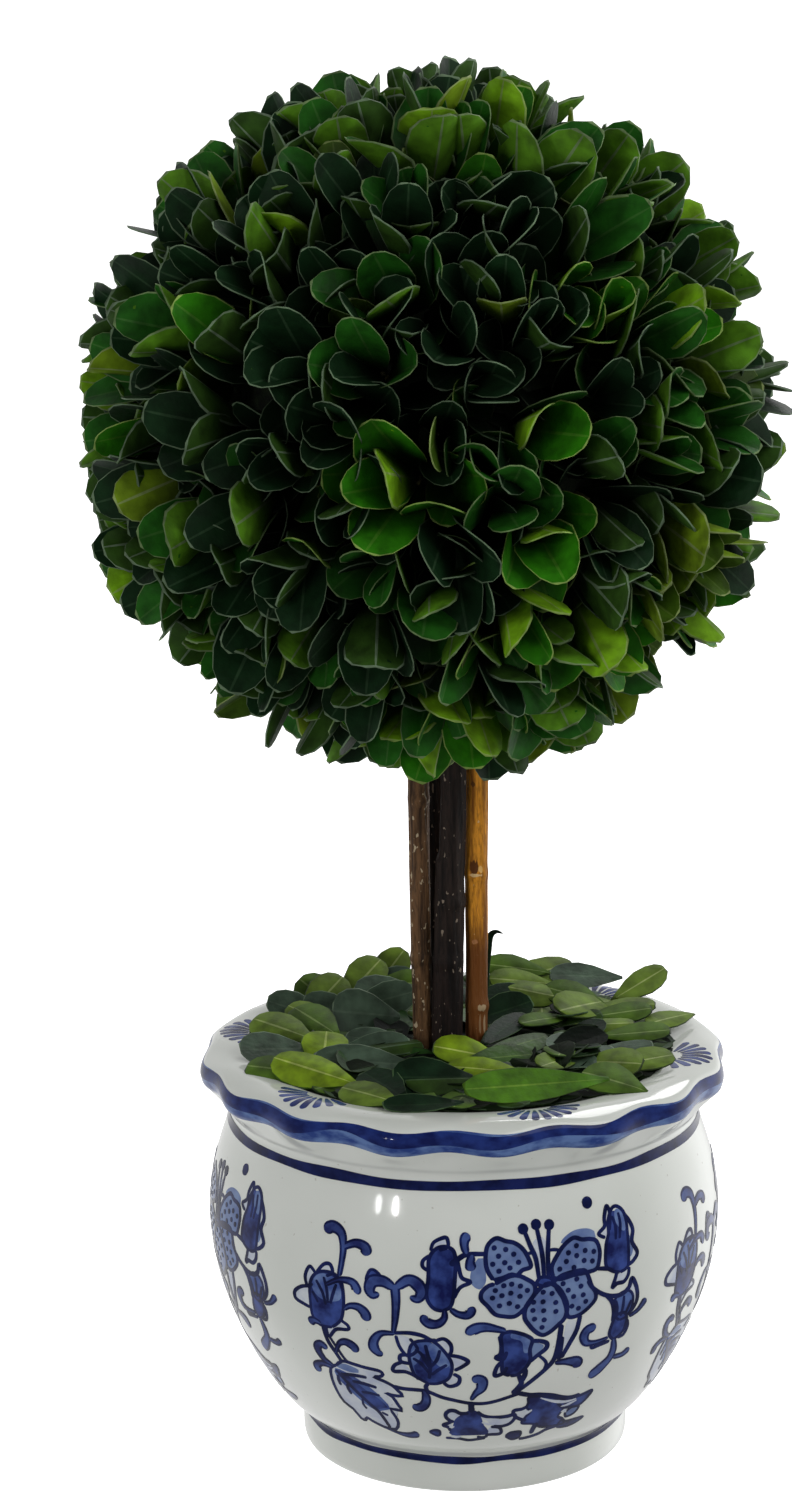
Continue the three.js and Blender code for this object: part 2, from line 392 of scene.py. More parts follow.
def brush(points, widths, steps=7, columns=2):
    """Grid of a brush stroke along a smooth curve through (degrees, mm) points. Its width follows
    the widths along the curve, and its ends are round: a half-ellipse over half a width."""
    line = curve_through(np.asarray(points, float) * (MM_PER_DEGREE, 1), steps)
    step = np.gradient(line, axis=0)
    step /= np.linalg.norm(step, axis=1, keepdims=True) + 1e-9
    run = run_along(line)
    width = np.interp(run / run[-1], np.linspace(0, 1, len(widths)), widths)
    ends = np.linspace(0, 1, 5)[1:] ** 2
    fill = np.unique(np.concatenate([run, ends * width[0] / 2, run[-1] - ends * width[-1] / 2]))
    fill = fill[(fill >= 0) & (fill <= run[-1])]
    line, step = read_at(fill, run, line), read_at(fill, run, step)
    width = np.interp(fill, run, width)
    near = np.minimum(fill, fill[-1] - fill)
    width = width * np.sqrt(1 - (1 - np.clip(near / (width / 2), 0.02, 1)) ** 2)
    side = np.stack([-step[:, 1], step[:, 0]], -1)
    across = np.linspace(-0.5, 0.5, columns)[None, :, None]
    grid = line[:, None] + side[:, None] * width[:, None, None] * across
    return grid[..., 0] / MM_PER_DEGREE, grid[..., 1]


def blot(points, steps=5, rows=14, smooth=True):
    """Grid of a filled shape: its closed outline is cut in two halves, from the first point to
    the one half way round, and the grid runs from one half to the other in straight lines."""
    p = np.asarray(points, float) * (MM_PER_DEGREE, 1)
    loop = np.vstack([p[-1:], p, p[:2]])
    line = curve_through(loop, steps)[steps:-steps] if smooth else np.vstack([p, p[:1]])
    run = run_along(line)
    line = read_at(np.linspace(0, run[-1], 2 * rows + 1), run, line)
    left, right = line[1:rows], line[: rows + 1 : -1]
    t = np.linspace(0, 1, 7)[None, :, None]
    grid = left[:, None] * (1 - t) + right[:, None] * t
    return grid[..., 0] / MM_PER_DEGREE, grid[..., 1]


def cobalt(name, dark, light, streak=(1, 1, 1)):
    """Paint under the glaze, from where the brush was full to where it ran dry."""

    def look(place):
        wash = place.noise(260, 3, streak)
        return {
            "Base Color": wash.tint((0.36, linear(*dark)), (0.64, linear(*light))),
            "Roughness": place.noise(60) * 0.06 + 0.07,
        }

    return material(name, look, Coat_Weight=0.12, Coat_Roughness=0.04, IOR=1.22)


line_paint = cobalt("cobalt_line", (4, 14, 58), (22, 34, 92))
knob_paint = cobalt("cobalt_knob", (28, 38, 98), (70, 92, 156))
deep_paint = cobalt("cobalt_deep", (12, 22, 82), (58, 80, 154))
mid_paint = cobalt("cobalt_mid", (46, 66, 136), (92, 118, 178))
thin_paint = cobalt("cobalt_thin", (62, 84, 150), (122, 146, 194))
pale_paint = cobalt("cobalt_pale", (94, 114, 166), (122, 144, 188))
haze_paint = cobalt("cobalt_haze", (192, 200, 220), (217, 223, 230))
band_paint = cobalt("cobalt_band", (46, 70, 138), (102, 130, 184), streak=(1, 1, 2.4))
rim_paint = cobalt("cobalt_rim", (14, 26, 84), (34, 54, 124), streak=(1, 1, 1.6))

haze = Strokes(0.03, haze_paint)
pale = Strokes(0.045, pale_paint)
band = Strokes(0.05, band_paint)
mid = Strokes(0.06, mid_paint)
rim = Strokes(0.07, rim_paint)
deep = Strokes(0.075, deep_paint)
thin = Strokes(0.082, thin_paint)
lines = Strokes(0.09, line_paint)
gleams = Strokes(0.1, haze_paint)
knobs = Strokes(0.11, knob_paint)
dots = Strokes(0.11, line_paint)

NECK_LINE_WIDTH = 1.95
FOOT_LINE_WIDTH = 1.5
LINE_WANDER = 0.1
BAND_WANDER = 0.16


def all_round(size, seed):
    """How far a line wanders while the pot turns on a wheel: the sum of three sine waves."""
    turn = np.linspace(0, 2 * math.pi, SEGMENTS + 1)
    pace = np.random.default_rng(seed).uniform(0, 2 * math.pi, 3)
    return sum(size / k * np.sin((3 + 5 * k) * turn + pace[k - 1]) for k in (1, 2, 3))


def ring_grid(low, high, columns):
    """Grid once round the pot, between a low and a high edge."""
    across = np.linspace(0, 360, SEGMENTS + 1)[:, None] * np.ones((1, columns))
    return across, low[:, None] + (high - low)[:, None] * np.linspace(0, 1, columns)


def ring_line(height, width, seed):
    """A line round the pot at that height, which wanders and swells."""
    middle = height + all_round(LINE_WANDER, seed)
    half = width / 2 + all_round(LINE_WANDER, seed + 1)
    lines.add(on_belly, *ring_grid(middle - half, middle + half, 5))


ring_line(NECK_HEIGHT - 0.5, NECK_LINE_WIDTH, 3)
ring_line(FOOT_HEIGHT - 0.85, FOOT_LINE_WIDTH, 5)

UNDER_LIP = 3
BAND_SPAN = (-0.75, 4.1)
EDGE_SPAN = (1.5, 4.0)
edge_curve = np.vstack([body_curve[-1 - UNDER_LIP : -1], lip_curve])
edge_run = run_along(edge_curve)
edge_run -= edge_run[UNDER_LIP]
edge_slope = np.gradient(edge_curve, axis=0)
edge_slope /= np.linalg.norm(edge_slope, axis=1, keepdims=True)


def on_lip(across, run, lift):
    """A point on the lip, `run` millimetres along its curve from under its edge toward the mouth,
    lifted along the curve's normal."""
    at, along = read_at(run, edge_run, edge_curve), read_at(run, edge_run, edge_slope)
    radius = at[..., 0] + lift * along[..., 1]
    return turned(np.radians(across), radius, at[..., 1] - lift * along[..., 0])


def ring_band(strokes, span, wander, seed):
    """A band round the lip between two places along its curve. Its edges wander, the outer one
    by `wander`."""
    low = span[0] + all_round(wander, seed)
    high = span[1] + all_round(BAND_WANDER, seed + 1)
    strokes.add(on_lip, *ring_grid(low, high, 15))


ring_band(band, BAND_SPAN, 0.3, 11)
ring_band(rim, EDGE_SPAN, 0.6, 14)
band.make("paint_lip_band")
rim.make("paint_lip_edge")

FANS = 6
FAN_START = 18
FAN_PETALS = 9
FAN_SPREAD = 64
FAN_RADIUS = 41.2
FAN_REACH = (3.4, 6.8, 9.4)
FAN_WIDTHS = (0.5, 1.35, 1.6)


def fan(middle):
    """Petals of paint on the lip's top, spread from a point at the mouth toward the edge."""
    for lean in np.radians(np.linspace(-FAN_SPREAD, FAN_SPREAD, FAN_PETALS)):
        points = []
        for reach in FAN_REACH:
            radius = FAN_RADIUS + reach * math.cos(lean)
            points.append((middle + math.degrees(reach * math.sin(lean) / radius), radius))
        deep.add(on_lip_top, *brush(points, FAN_WIDTHS, 5, 3))


def flange_height(radius):
    """The lip's top at that radius, from its outer edge to the mouth."""
    top = lip_curve[lip_curve[:, 1] > LIP_TOP - 1.6]
    return np.interp(radius, top[::-1, 0], top[::-1, 1])


def on_lip_top(across, radius, lift):
    """A point on the lip's top at that radius, lifted straight up."""
    return turned(np.radians(across), radius, flange_height(radius) + lift)


for k in range(FANS):
    fan(FAN_START + 360 / FANS * k)


KNOB_EDGE = 0.95
VINES = 4


def paint_line(points, widths):
    """A thin line. One of a single width is a little thicker half way."""
    if len(widths) == 1:
        widths = (widths[0], widths[0] * 1.2, widths[0])
    lines.add(on_belly, *brush(points, widths))


def paint_curl(points, widths):
    """A fat curl: a dark stroke with a lighter body laid on it, thickest where it ends in a knob."""
    lines.add(on_belly, *brush(points, widths))
    knobs.add(on_belly, *brush(points, [max(w - KNOB_EDGE, 0.15) for w in widths]))


def paint_petal(points, widths):
    """A petal left nearly white inside its outline, which stays open at its root."""
    haze.add(on_belly, *blot(points))
    paint_line(points, widths)


def paint_leaf(points, widths):
    """A leaf with sharp teeth, nearly white inside."""
    haze.add(on_belly, *blot(points, rows=26, smooth=False))
    lines.add(on_belly, *brush([*points, points[0]], [widths[0]] * 2, 2))


def wash(paint):
    """A filled shape in one paint, with an outline where a width is given."""

    def fill(points, widths):
        paint.add(on_belly, *blot(points))
        if widths:
            lines.add(on_belly, *brush([*points, points[0]], [widths[0]] * 2))

    return fill


def paint_gleam(points, widths):
    """A streak scraped nearly white through a dark wash."""
    gleams.add(on_belly, *brush(points, (0.3 * widths[0], widths[0], 0.4 * widths[0])))


def paint_dots(points, widths):
    """Round dabs of the brush's tip."""
    turn = np.arange(8) * math.pi / 4
    ring = np.stack([np.cos(turn) / MM_PER_DEGREE, np.sin(turn)], -1) * widths[0]
    for point in points:
        dots.add(on_belly, *blot(np.asarray(point) + ring, 3))


washes = {"haze": haze, "pale": pale, "mid": mid, "deep": deep, "thin": thin}
HAND = {kind: wash(paint) for kind, paint in washes.items()}
HAND.update(line=paint_line, curl=paint_curl, petal=paint_petal, leaf=paint_leaf)
HAND.update(gleam=paint_gleam, dots=paint_dots)

# Each row is a kind of stroke, its widths in millimetres, and its points: degrees round the pot
# from the middle of the motif, and height.
LEFT_BUD = (
    ("curl", (1.1, 1.3, 1.6, 2.3, 2.7), (-28.7, 51.2), (-28.2, 54), (-28, 56.8), (-28.7, 59.5),
     (-31, 60.5), (-33, 59.4)),
    ("curl", (1.4, 1.7, 2.1, 2.7), (-28, 57), (-25.2, 58.1), (-22.9, 57.6), (-22.4, 56)),
    ("petal", (0.65,), (-34.8, 50.8), (-36.3, 51.8), (-37.5, 49.6), (-36.9, 47.6), (-35.5, 48.4)),
    ("petal", (0.65,), (-34.4, 51), (-32.6, 52.9), (-31, 53.1), (-30.4, 51.6), (-32, 50.6)),
    ("petal", (0.7,), (-36.6, 47.7), (-38.8, 47.1), (-40.7, 45.7), (-40.6, 44.2), (-38.4, 43.5),
     (-36.6, 43.1)),
    ("petal", (0.65,), (-28.9, 41.8), (-27.3, 40.9), (-27.4, 40), (-30.4, 39.5), (-32.6, 37.5),
     (-33, 39.6)),
    ("deep", (0.65,), (-31.4, 39.8), (-34.4, 39.7), (-36.2, 41.2), (-36.5, 44), (-36.2, 48.6),
     (-34, 51.1), (-30.4, 51.5), (-28.2, 50), (-27.8, 46), (-28.8, 42)),
    ("thin", (), (-32, 45.4), (-34.6, 46.2), (-35.8, 48.2), (-34.2, 50.5), (-31.4, 51.1), (-28.9, 49.8),
     (-28.5, 46.4)),
    ("line", (0.6,), (-32.4, 44.5), (-33, 47), (-34.6, 49.4)),
    ("line", (0.6,), (-31.8, 45), (-31.9, 48), (-32.6, 50.4)),
    ("line", (0.6,), (-31.2, 45), (-30.2, 47.6), (-29.4, 49.4)),
    ("line", (0.5,), (-34.4, 44.6), (-35.2, 46), (-35.8, 46.8)),
    ("curl", (0.9, 1.2, 1.7, 2.3), (-32, 48.9), (-28.8, 50.4), (-25.7, 50.4), (-24.6, 49), (-25, 48.3)),
    ("curl", (0.9, 1.5, 2.2, 2.4), (-27.9, 44.3), (-26.4, 45.3), (-24.3, 45.3), (-22.8, 44.1),
     (-22.8, 42.6)),
    ("curl", (0.9, 1.6, 2.4), (-34.2, 40), (-36, 40.4), (-37.6, 39.7)),
    ("line", (0.8,), (-33.9, 39.5), (-33.2, 36.5), (-31.6, 33.9), (-30.4, 31.8)),
    ("line", (0.55,), (-32.6, 37.6), (-31.4, 35.8), (-29.6, 33), (-28.4, 32)),
    ("curl", (0.8, 1.2, 2.0, 2.2), (-31.6, 34), (-30.2, 36.3), (-28.4, 37), (-26.5, 36.2), (-26.5, 35)),
    ("curl", (1.0, 1.7, 2.1, 1.4), (-33.4, 30.6), (-35.7, 31.8), (-36.7, 34), (-35.4, 35.2),
     (-33.8, 34.4)),
    ("curl", (1.2, 1.6, 2.3), (-34, 30.2), (-36.6, 30.4), (-38.6, 29.4), (-38, 28)),
    ("leaf", (0.75,), (-32.4, 30.8), (-30.4, 32.2), (-28.2, 32.1), (-25, 31.7), (-22.3, 31.5),
     (-20.9, 31.3), (-20.3, 30.6), (-21.3, 29.9), (-22.9, 29.7), (-20.3, 28.9), (-18.3, 28),
     (-17.2, 26.9), (-16.2, 25.7), (-18.9, 25.6), (-20.6, 26), (-19, 25.2), (-17.9, 23.2),
     (-17.2, 21.7), (-20.2, 21.9), (-19.4, 19.9), (-19.1, 18.2), (-20.4, 16.2), (-23.7, 16.3),
     (-27.1, 17.6), (-28.2, 18.2), (-29.2, 17.4), (-30.4, 17.7), (-31.7, 19.9), (-33.8, 21.3),
     (-34.8, 24), (-35, 27), (-34.3, 29.8)),
    ("pale", (), (-32.6, 30.6), (-30, 31.6), (-27, 31), (-26, 30.2), (-29, 29.8)),
    ("mid", (), (-33, 30), (-29.6, 29.3), (-25.8, 27.6), (-22.4, 25), (-20.3, 22.1), (-21.8, 20.8),
     (-24.8, 20.9), (-28.2, 22.8), (-31.2, 25.6), (-33.3, 28)),
    ("deep", (), (-32.8, 29.8), (-29.6, 28.6), (-26, 26), (-22.8, 24.2), (-20.8, 21.9), (-22.4, 21.2),
     (-25.4, 22), (-28.4, 25), (-31.4, 27.2)),
    ("line", (0.8,), (-33, 29.6), (-29.2, 25.6), (-25.4, 22), (-23.6, 20.2), (-22, 16.4)),
    ("line", (0.7,), (-31.8, 28.8), (-28, 29.2), (-24.7, 29.2)),
    ("line", (0.7,), (-29, 27.6), (-26, 27.5), (-22.6, 27)),
    ("line", (0.6,), (-27.2, 25.2), (-24.8, 25.3), (-22.3, 25)),
    ("line", (0.7,), (-32.7, 28.4), (-33, 27), (-32.8, 25.8)),
    ("line", (0.7,), (-30.6, 26.6), (-30.9, 25.4), (-30.4, 24)),
    ("line", (0.5,), (-27.4, 23.6), (-27.8, 22), (-27.2, 20.8)),
    ("line", (0.5,), (-23, 20.6), (-22.2, 20.2), (-21.4, 19.9)),
    ("curl", (0.5, 0.8, 1.5, 2.1), (-23.6, 16.2), (-20, 15.2), (-17.4, 14.9), (-15.6, 15.1),
     (-14, 15.6)),
)
TRIDENT = (
    ("curl", (1.0, 1.5, 1.8, 2.0), (-16.6, 40.8), (-16, 44), (-15.7, 47.6), (-15.9, 51)),
    ("curl", (1.8, 2.4, 2.7, 2.2, 1.2), (-16, 50.2), (-18.4, 51.4), (-20.8, 51.2), (-21.6, 49.6),
     (-20.9, 48.4), (-19.4, 48.8)),
    ("deep", (0.6,), (-20.6, 50.6), (-19, 52.1), (-20.4, 53.4), (-21.6, 53.2), (-22.3, 51.2)),
    ("curl", (1.8, 2.3, 2.7, 2.2, 1.2), (-15.6, 50.4), (-13, 52.1), (-11, 51.4), (-10.1, 49.8),
     (-11, 48.4), (-12.6, 48.8)),
    ("curl", (0.9, 1.3, 1.9, 2.4, 1.6), (-16.3, 40.6), (-19.4, 40.3), (-21.2, 38.6), (-21.5, 36.9),
     (-20.5, 35.8), (-19.5, 35.8)),
    ("line", (0.75,), (-16.6, 40.7), (-13, 41), (-10.2, 40.6), (-8.2, 39.7), (-7.2, 39.9)),
)
ROSETTE = (
    ("petal", (0.7,), (-7.6, 39.4), (-5.6, 40.1), (-4.1, 39), (-3.9, 37.3), (-4.8, 35.9)),
    ("petal", (0.75,), (-4.4, 36.4), (-2, 36), (-0.2, 35), (-1.3, 33.9), (-3.3, 32.8)),
    ("petal", (0.75,), (-3.6, 32), (-2.2, 31.1), (-2.5, 29.6), (-4.3, 28.9), (-5.5, 29.4), (-6, 30.4)),
    ("petal", (0.65,), (-16.1, 40.2), (-15.4, 37.7), (-13.7, 35.8), (-11.4, 37.5), (-13, 39.8)),
    ("petal", (0.75,), (-13.6, 36), (-15.4, 35.7), (-15.4, 34.3), (-13.2, 34)),
    ("petal", (0.75,), (-15.2, 34.2), (-17.1, 33.2), (-17.5, 31.8), (-14.6, 31.9), (-12.4, 31),
     (-11.6, 30.2)),
    ("mid", (0.7,), (-9.4, 29.4), (-12.2, 31), (-13.2, 33.4), (-13.4, 36.4), (-12.4, 38.7), (-10, 39.5),
     (-7.4, 39.2), (-4.8, 36.4), (-3.8, 34), (-4.6, 31), (-7, 29.6)),
    ("deep", (), (-9.2, 29.6), (-11.8, 31), (-12.4, 34.2), (-10.6, 36.6), (-8.4, 35.8), (-5.6, 35),
     (-4.2, 32.8), (-6, 30.2)),
    ("thin", (), (-8.2, 35.2), (-9, 38), (-7.4, 39), (-5, 36.8), (-4.2, 34.4), (-5.8, 33.4)),
    ("thin", (), (-12.6, 33.6), (-12.8, 36.6), (-11.2, 37.8), (-10.8, 35.8)),
    ("line", (0.7,), (-9.2, 30.6), (-8.8, 34), (-9.6, 38.6)),
    ("line", (0.65,), (-9, 32), (-10.8, 34.2), (-12.6, 35.4)),
    ("line", (0.65,), (-9, 33.4), (-10.6, 36.4), (-12, 37.4)),
    ("line", (0.65,), (-8.8, 33.4), (-7.2, 35.2), (-6.4, 37.6)),
    ("line", (0.65,), (-8.6, 31.6), (-6.8, 33), (-4.9, 34.2)),
    ("line", (0.9, 0.8, 0.75), (-18.2, 27.9), (-15.6, 27.6), (-12.6, 27.6), (-10, 27.4), (-6.6, 26.1),
     (-3.7, 25.4), (-0.9, 24.8), (1.4, 24.5), (4.1, 24.5), (6.9, 25), (9.8, 25.8), (12.4, 26.5)),
    ("line", (0.8,), (-9.4, 29.4), (-10.2, 28.6), (-9.8, 27.4)),
    ("curl", (1.2, 2.0, 2.2, 2.3, 1.8), (-10.8, 27.6), (-10.4, 26.2), (-10.5, 24.8), (-11.4, 23.5),
     (-12.9, 23), (-14, 23.6)),
    ("curl", (0.9, 1.5, 2.3, 2.7, 2.2), (0.5, 25.4), (1.6, 27), (2.9, 28.4), (3, 30), (1.9, 30.6),
     (1, 30)),
    ("line", (1.6, 1.3, 1.6), (0.7, 25), (0.6, 23.6), (0.8, 22.2)),
)
TALL_BUD = (
    ("petal", (0.65,), (-8.2, 58), (-7.6, 59.6), (-5.8, 60.5), (-4.7, 60.5), (-4.5, 58.9),
     (-6.4, 58.2)),
    ("petal", (0.65,), (-8.4, 57.2), (-9.8, 56.1), (-9.8, 54.9), (-8.4, 54.1)),
    ("petal", (0.7,), (-3.2, 48.8), (-1.9, 51), (0.3, 52.1), (-1.5, 53), (-2.1, 55), (-2.4, 56.6)),
    ("deep", (0.75,), (-5.6, 46.1), (-7.6, 46.7), (-9, 49), (-8.6, 53), (-8.5, 56.6), (-6.8, 58.6),
     (-4.3, 58.8), (-2.9, 57.2), (-3, 52), (-3.7, 47.5)),
    ("line", (1.2, 1.0, 0.8), (-4, 55.4), (-1.8, 56.9), (0, 57.5), (4, 57.5)),
    ("curl", (1.0, 1.6, 2.2, 2.0), (-5.2, 46.3), (-5.3, 44.6), (-6.6, 43.4), (-8.4, 43.3), (-9.5, 44.2),
     (-9.1, 45)),
    ("curl", (1.1, 1.7, 2.3), (-4, 46.6), (-2.3, 45.5), (-0.4, 45.3), (0.4, 46.2), (0, 46.9)),
    ("curl", (1.4, 1.8, 2.5), (-0.4, 57.6), (-0.9, 59), (-0.8, 60.4), (0.1, 61.3)),
    ("curl", (1.5, 1.9, 2.5), (0.8, 57.4), (0.3, 55.9), (0.6, 54.3)),
    ("pale", (), (2.2, 50.6), (0.4, 52), (0.6, 54.6), (2.4, 57), (3.8, 56.4), (3.6, 54), (3.6, 52)),
)
GREAT_FLOWER = (
    ("pale", (), (20.4, 58.4), (23.4, 60.3), (27.4, 60.2), (29.4, 58.4), (25, 57.8)),
    ("pale", (0.85,), (5.2, 52.4), (3.9, 54.5), (3.6, 57), (4.2, 59.2), (6, 60.4), (8, 59.8),
     (10, 59.3), (11.8, 58), (13, 56), (13.3, 54.5), (11.5, 54), (10.3, 53.1), (9, 53.3), (7, 52.7)),
    ("pale", (0.85,), (5.5, 51.6), (4, 51.2), (2.7, 50), (2.6, 48.6), (4, 47.1), (5.5, 45.4),
     (7.5, 44.8), (10, 44.7), (12.4, 46.6), (13.4, 48), (14.2, 49.4), (14, 51), (12.5, 52.1),
     (10.5, 53), (8.5, 52.9)),
    ("pale", (0.85,), (18.3, 51), (20, 52), (22, 52.4), (24.5, 52.5), (26, 52), (27.3, 49),
     (28.3, 47.5), (28.4, 46), (27, 44.6), (25, 43.4), (23, 43), (21.8, 43.5), (21.3, 45.5),
     (20.5, 47.5), (19.3, 49.3)),
    ("pale", (0.85,), (18.3, 51.9), (18, 54), (19.6, 56.4), (21.3, 58), (23.5, 59), (25.5, 58.4),
     (27.5, 58.2), (29, 57.5), (29.6, 55.5), (29.2, 53.4), (28.5, 52.2), (26.5, 51.9), (23, 51.8),
     (20, 51.4)),
    ("pale", (0.9,), (16, 50.6), (14.2, 49), (12.3, 46.6), (12, 44.3), (13, 42.6), (14.5, 41),
     (16.2, 40), (17.8, 40.4), (19.6, 41.7), (21.2, 43.2), (21.6, 45.5), (20.9, 47.5), (19.5, 49.6),
     (17.6, 50.8)),
    ("dots", (0.52,), (5.5, 58.6), (8, 58.2), (6.4, 57), (9.7, 57.2), (5.1, 55.5), (7.7, 55.7),
     (10.7, 55.6), (6.4, 54.1), (8.8, 54.6), (7.4, 51.2), (9.1, 51.4), (11, 50.9), (12.5, 49.9),
     (5.6, 50.3), (5, 48.8), (7, 49.2), (8.9, 49.6), (10.9, 48.8), (6.5, 47.1), (8.6, 47.5),
     (10.4, 46.7), (16, 49.2), (18, 48.7), (13.9, 47.3), (16, 47.2), (18.9, 46.7), (13.8, 45.6),
     (16.2, 45.3), (19, 44.8), (14.2, 43.7), (16.4, 43.3), (16, 41.7), (20.5, 50.4), (23.7, 50.9),
     (21.7, 48.9), (24.7, 49.3), (23, 47.4), (25.3, 47.4), (22.7, 45.4), (26, 45.9), (24.3, 44.7),
     (24, 57.4), (22, 56.3), (26, 56.2), (28.1, 55.7), (23.9, 55.5), (21.4, 54.7), (25.6, 54.3),
     (27.6, 53.9), (19.8, 53.4), (23.1, 53.3)),
    ("haze", (), (15.1, 52), (14.5, 56), (14, 59), (16, 60), (17.6, 59), (17.2, 56), (17.2, 52)),
    ("deep", (0.7,), (14.4, 51), (15.4, 52.2), (17.4, 52), (18.2, 51), (16.4, 50.4)),
    ("line", (0.8,), (15.1, 52), (14.5, 56), (13.4, 58.6), (12.2, 61.6)),
    ("line", (0.8,), (16.2, 52), (16, 56.6), (15.1, 61.8)),
    ("line", (0.8,), (17.2, 52), (17.3, 57), (17.9, 61.6)),
    ("dots", (1.05,), (12, 61.8), (15, 62.4), (18, 62.1)),
    ("line", (0.6,), (17.6, 57.3), (18.8, 57.3), (20.2, 57)),
    ("line", (0.6,), (12.8, 57), (13.6, 57.2), (14.4, 57)),
    ("line", (1.1, 1.1, 1.0, 0.9), (20.5, 41.8), (20.2, 37), (19.6, 34), (18, 32), (15, 29.5),
     (12.3, 27.5), (10.5, 26.4)),
    ("line", (0.9,), (24.9, 43.2), (24.3, 40), (22.8, 37), (21.3, 34)),
    ("line", (0.8,), (21, 39), (20.9, 36), (20.8, 33.4)),
    ("haze", (), (21.4, 35), (21.4, 40), (22, 42.4), (24, 42.6), (23.6, 39.4), (22.6, 37)),
    ("curl", (1.1, 1.6, 2.5, 2.9), (20, 33.1), (23, 33), (25.6, 32.4), (25.5, 31)),
    ("line", (0.6,), (15.8, 35.4), (17.8, 33.4), (17.2, 31)),
)
TULIP = (
    ("petal", (0.85,), (13.8, 38.9), (15.8, 38.7), (17.4, 38), (17.3, 36.8), (15.4, 35.4), (13.7, 34)),
    ("pale", (), (13.8, 38.4), (15.6, 38.2), (16.8, 37.4), (15.6, 36), (14, 35)),
    ("petal", (0.8,), (6.6, 40.6), (7.1, 38.5), (7, 36.5), (6, 35.7), (7.6, 35.2), (8.4, 37)),
    ("petal", (0.8,), (7.2, 34.6), (6.2, 33.2), (6, 31.4), (7.8, 31.9), (8.6, 33.4)),
    ("deep", (0.8,), (9.5, 31.2), (7.8, 32), (7.4, 34), (7.3, 37), (7, 40.6), (8.7, 41.4), (11, 40.9),
     (13, 40), (14, 39), (13.6, 37), (13.9, 34.6), (13, 32.8), (11.2, 31.3)),
    ("thin", (), (9.2, 40), (9.4, 41.1), (11.2, 40.8), (13, 39.8), (13.8, 38.8), (13.2, 36.4),
     (12.2, 36.6), (11.6, 39)),
    ("curl", (1.2, 1.6, 2.1, 2.5, 2.2), (8, 41.6), (6.1, 42.1), (3.8, 42.6), (1.9, 42.5), (0.4, 41.8),
     (0.1, 40.9)),
    ("line", (1.0, 1.2, 1.0), (11.5, 31.2), (12, 30.2), (12.4, 29), (11.6, 27.8), (10.4, 26.6)),
    ("line", (1.0,), (13, 32.6), (13, 31), (12.4, 29.4)),
)
